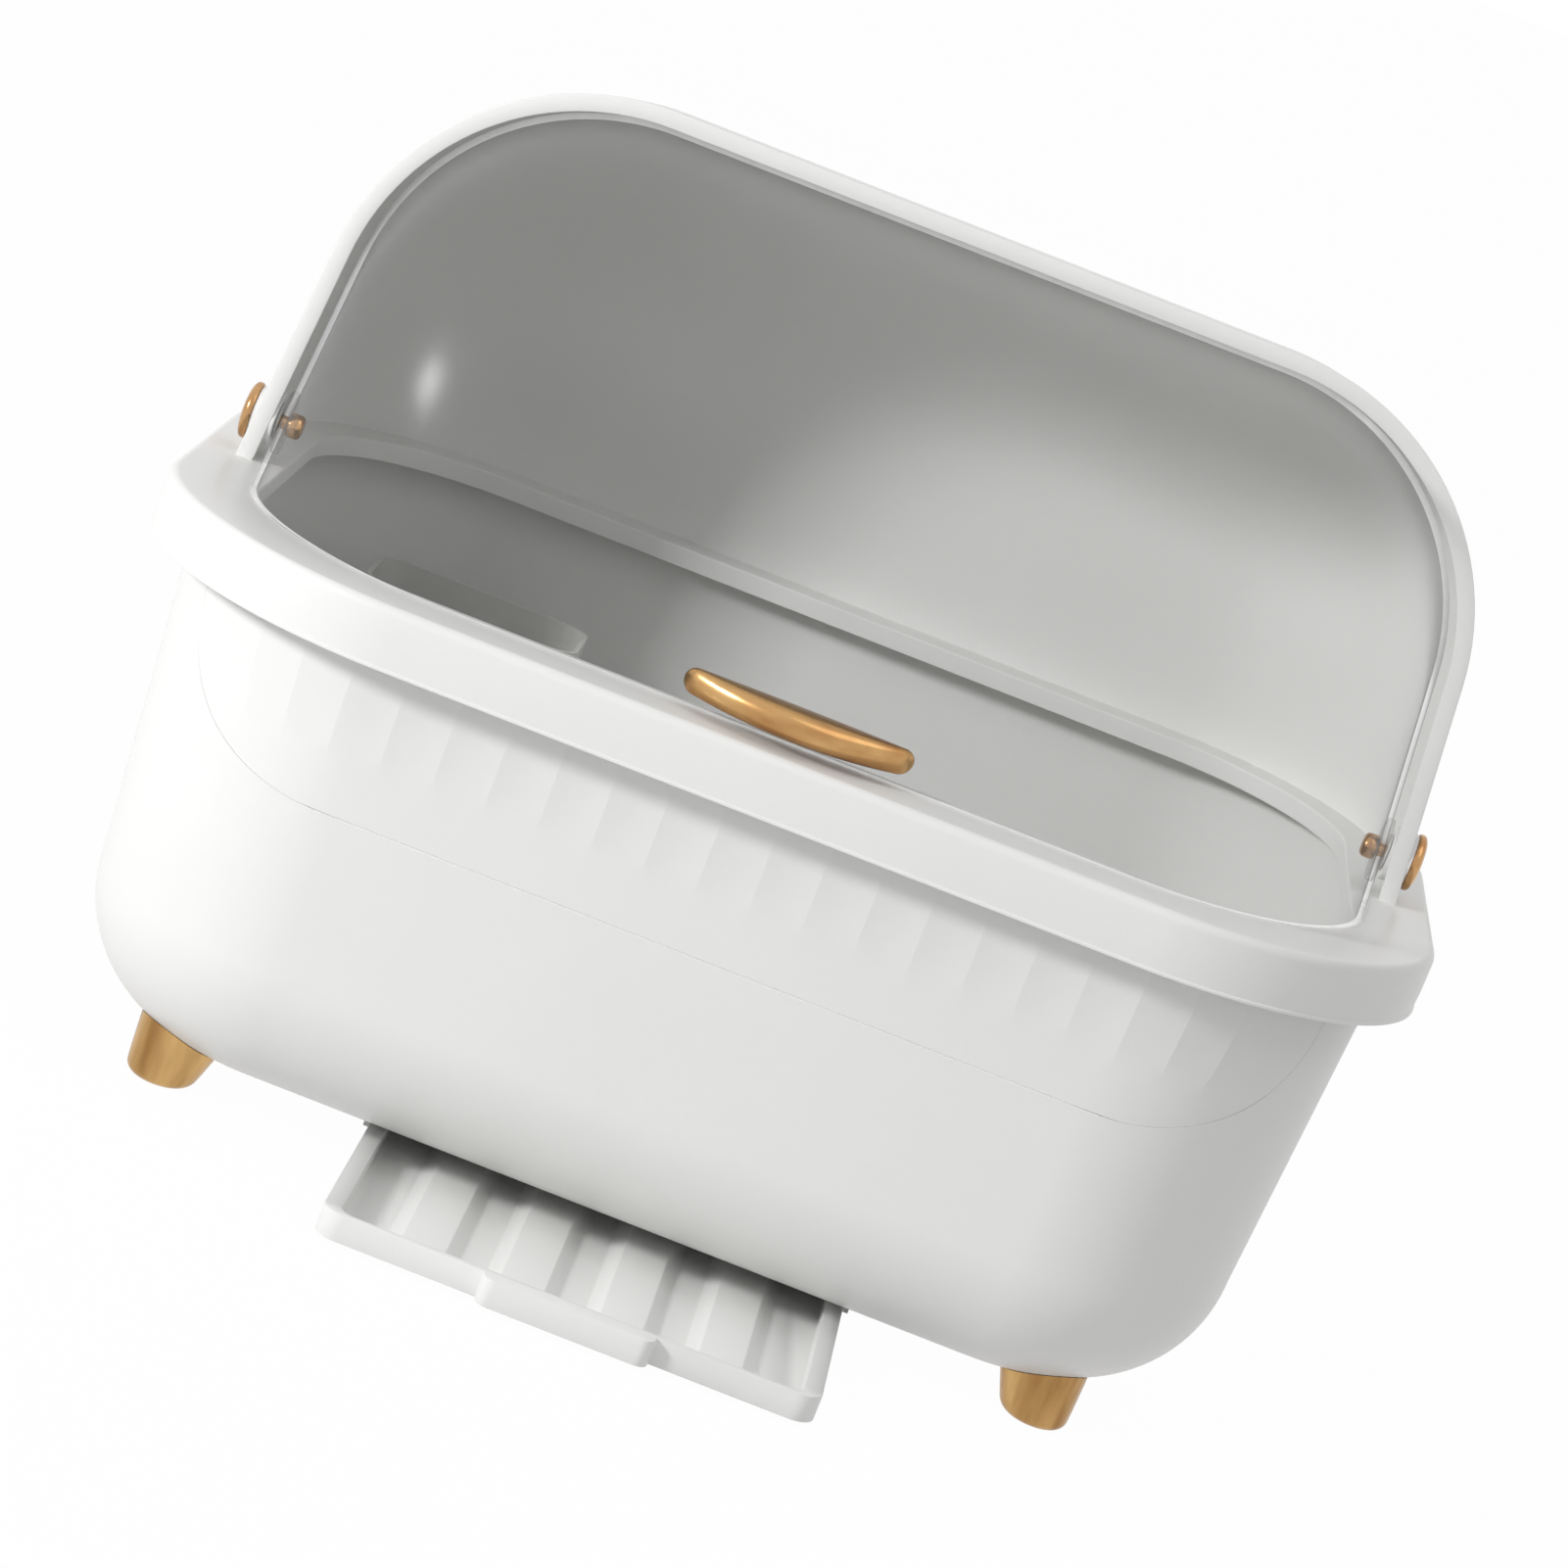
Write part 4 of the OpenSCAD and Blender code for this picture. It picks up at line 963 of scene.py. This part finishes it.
def softened(node, body, finish, width):
    """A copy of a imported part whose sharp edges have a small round."""
    bm = bmesh.new()
    bm.from_mesh(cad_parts[node].data)
    bmesh.ops.remove_doubles(bm, verts=bm.verts, dist=0.000004)
    bmesh.ops.dissolve_limit(
        bm, angle_limit=math.radians(0.5), use_dissolve_boundaries=False,
        verts=bm.verts, edges=bm.edges,
    )
    edges = [e for e in bm.edges if e.is_manifold and e.calc_face_angle(0) > math.radians(25)]
    bmesh.ops.bevel(
        bm, geom=edges, offset=width * TO_METRES, offset_type="OFFSET", segments=2,
        profile=0.5, material=-1, affect="EDGES", clamp_overlap=False,
    )
    bmesh.ops.scale(bm, verts=bm.verts, vec=(1 / TO_METRES,) * 3)
    bmesh.ops.translate(bm, verts=bm.verts, vec=(0, -MIDDLE_Y, 0))
    settle(bm, f"{node}_soft", body, [node], finish, sharp=35)


softened("drip_tray", "tray", shell_white, 0.45)
print("tray softened")

# %% [markdown]
# ## Parts that stay as they are
# Screws, washers, runners, both racks and the caddy hardly show, so they keep their imported
# meshes and only get a finish: their material slots change, their shape doesn't.

# %% Finishes for the kept parts
kept = {
    steel: ["handle_screws", "foot_screws", "runner_screws"],
    inner_plastic: [
        "hinge_washer_left", "hinge_washer_right", "tray_runner_left", "tray_runner_right",
        "drain_rack", "plate_rack", "cutlery_caddy",
    ],
}
for finish, nodes in kept.items():
    for node in nodes:
        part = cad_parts[node]
        part.data.materials.clear()
        part.data.materials.append(finish.material)
print("kept parts finished")

# %% [markdown]
# ## Floor and light
# The box stands on plain white. Lamps strong enough to make a floor that white would burn
# out the box, so the floor and the world show their white only to the rays that look at
# them: those of the camera, of gloss and of clear parts. All other rays meet a matt floor
# and a weaker, even sky, and the floor keeps a little of its shadow.

# %% Floor and world
FLOOR_REACH, FLOOR_SHOWN, SKY_LIGHT = 14.0, 0.98, 0.455


def looking(net):
    """1 for the rays that see the background, 0 for those that only bring light."""
    rays = ("Is Camera Ray", "Is Glossy Ray", "Is Transmission Ray")
    camera, gloss, clear_part = (net.node("ShaderNodeLightPath", output=ray) for ray in rays)
    return camera.or_more(gloss).or_more(clear_part)


floor_finish = Finish("floor_white", "shell_white")
matt = floor_finish.node("ShaderNodeBsdfDiffuse", inputs={"Color": grey(0.82)})
glow = floor_finish.node("ShaderNodeEmission", inputs={"Color": grey(1), "Strength": 1.0})
shown = looking(floor_finish) * FLOOR_SHOWN
floor_finish.surface(floor_finish.node("ShaderNodeMixShader", inputs={0: shown, 1: matt, 2: glow}))
bm = bmesh.new()
bmesh.ops.create_grid(bm, x_segments=1, y_segments=1, size=FLOOR_REACH)
mesh = bpy.data.meshes.new("floor")
bm.to_mesh(mesh)
bm.free()
mesh.materials.append(floor_finish.material)
floor = bpy.data.objects.new("floor", mesh)
bpy.context.scene.collection.objects.link(floor)

world = bpy.data.worlds.new("studio")
bpy.context.scene.world = world
world.use_nodes = True
sky = Net(world.node_tree)
fill = sky.node("ShaderNodeBackground", inputs={"Color": grey(1), "Strength": SKY_LIGHT})
white = sky.node("ShaderNodeBackground", inputs={"Color": grey(1), "Strength": 1.0})
both = sky.node("ShaderNodeMixShader", inputs={0: looking(sky), 1: fill, 2: white})
sky.node("ShaderNodeOutputWorld", inputs={"Surface": both})
print("white floor, sky of", SKY_LIGHT)

# %% [markdown]
# ## Lamps
# A shadow's edge on the hood's inside tells where the main light stood: 52 degrees to the
# left of the front and 20 degrees up. The lamp there is small enough to keep that edge, and
# weak enough that the white collar doesn't burn out. A larger, weak one from the upper right
# lifts the dark side.

# %% Lamps


def lamp(name, place, target, size, power):
    """A square area lamp that looks at a point."""
    light = bpy.data.lights.new(name, "AREA")
    light.shape, light.size, light.energy = "SQUARE", size, power
    holder = bpy.data.objects.new(name, light)
    holder.location = place
    holder.rotation_euler = (Vector(target) - Vector(place)).to_track_quat("-Z", "Y").to_euler()
    bpy.context.scene.collection.objects.link(holder)


lamp("key", (-1.78, -1.39, 1.07), (0, 0, 0.25), 0.36, 33.5)
lamp("top", (0.9, -0.9, 2.3), (0, 0, 0.3), 1.6, 8)
print("lit")

# %% [markdown]
# ## The camera
# The photograph was taken with a long lens from a little above, and the picture is turned by
# 21.3 degrees. The camera looks down by 12.8 degrees and is rolled about its own axis.

# %% Camera
SENSOR, PICTURE, LENS_PIXELS = 36.0, 1601, 5500
DOWN, ROLL = math.radians(12.8), math.radians(21.3)
camera = bpy.data.objects.new("camera", bpy.data.cameras.new("camera"))
bpy.context.scene.collection.objects.link(camera)
camera.data.sensor_width = SENSOR
camera.data.lens = LENS_PIXELS / PICTURE * SENSOR
look = Vector((0, math.cos(DOWN), -math.sin(DOWN)))
upright = look.to_track_quat("-Z", "Y").to_matrix().to_4x4()
roll = Matrix.Rotation(ROLL, 4, "Z")
camera.matrix_world = Matrix.Translation((0.0036, -2.2261, 0.7022)) @ upright @ roll
bpy.context.scene.camera = camera
bpy.context.scene.view_settings.view_transform = "Standard"
print("camera at", tuple(round(c, 3) for c in camera.location))
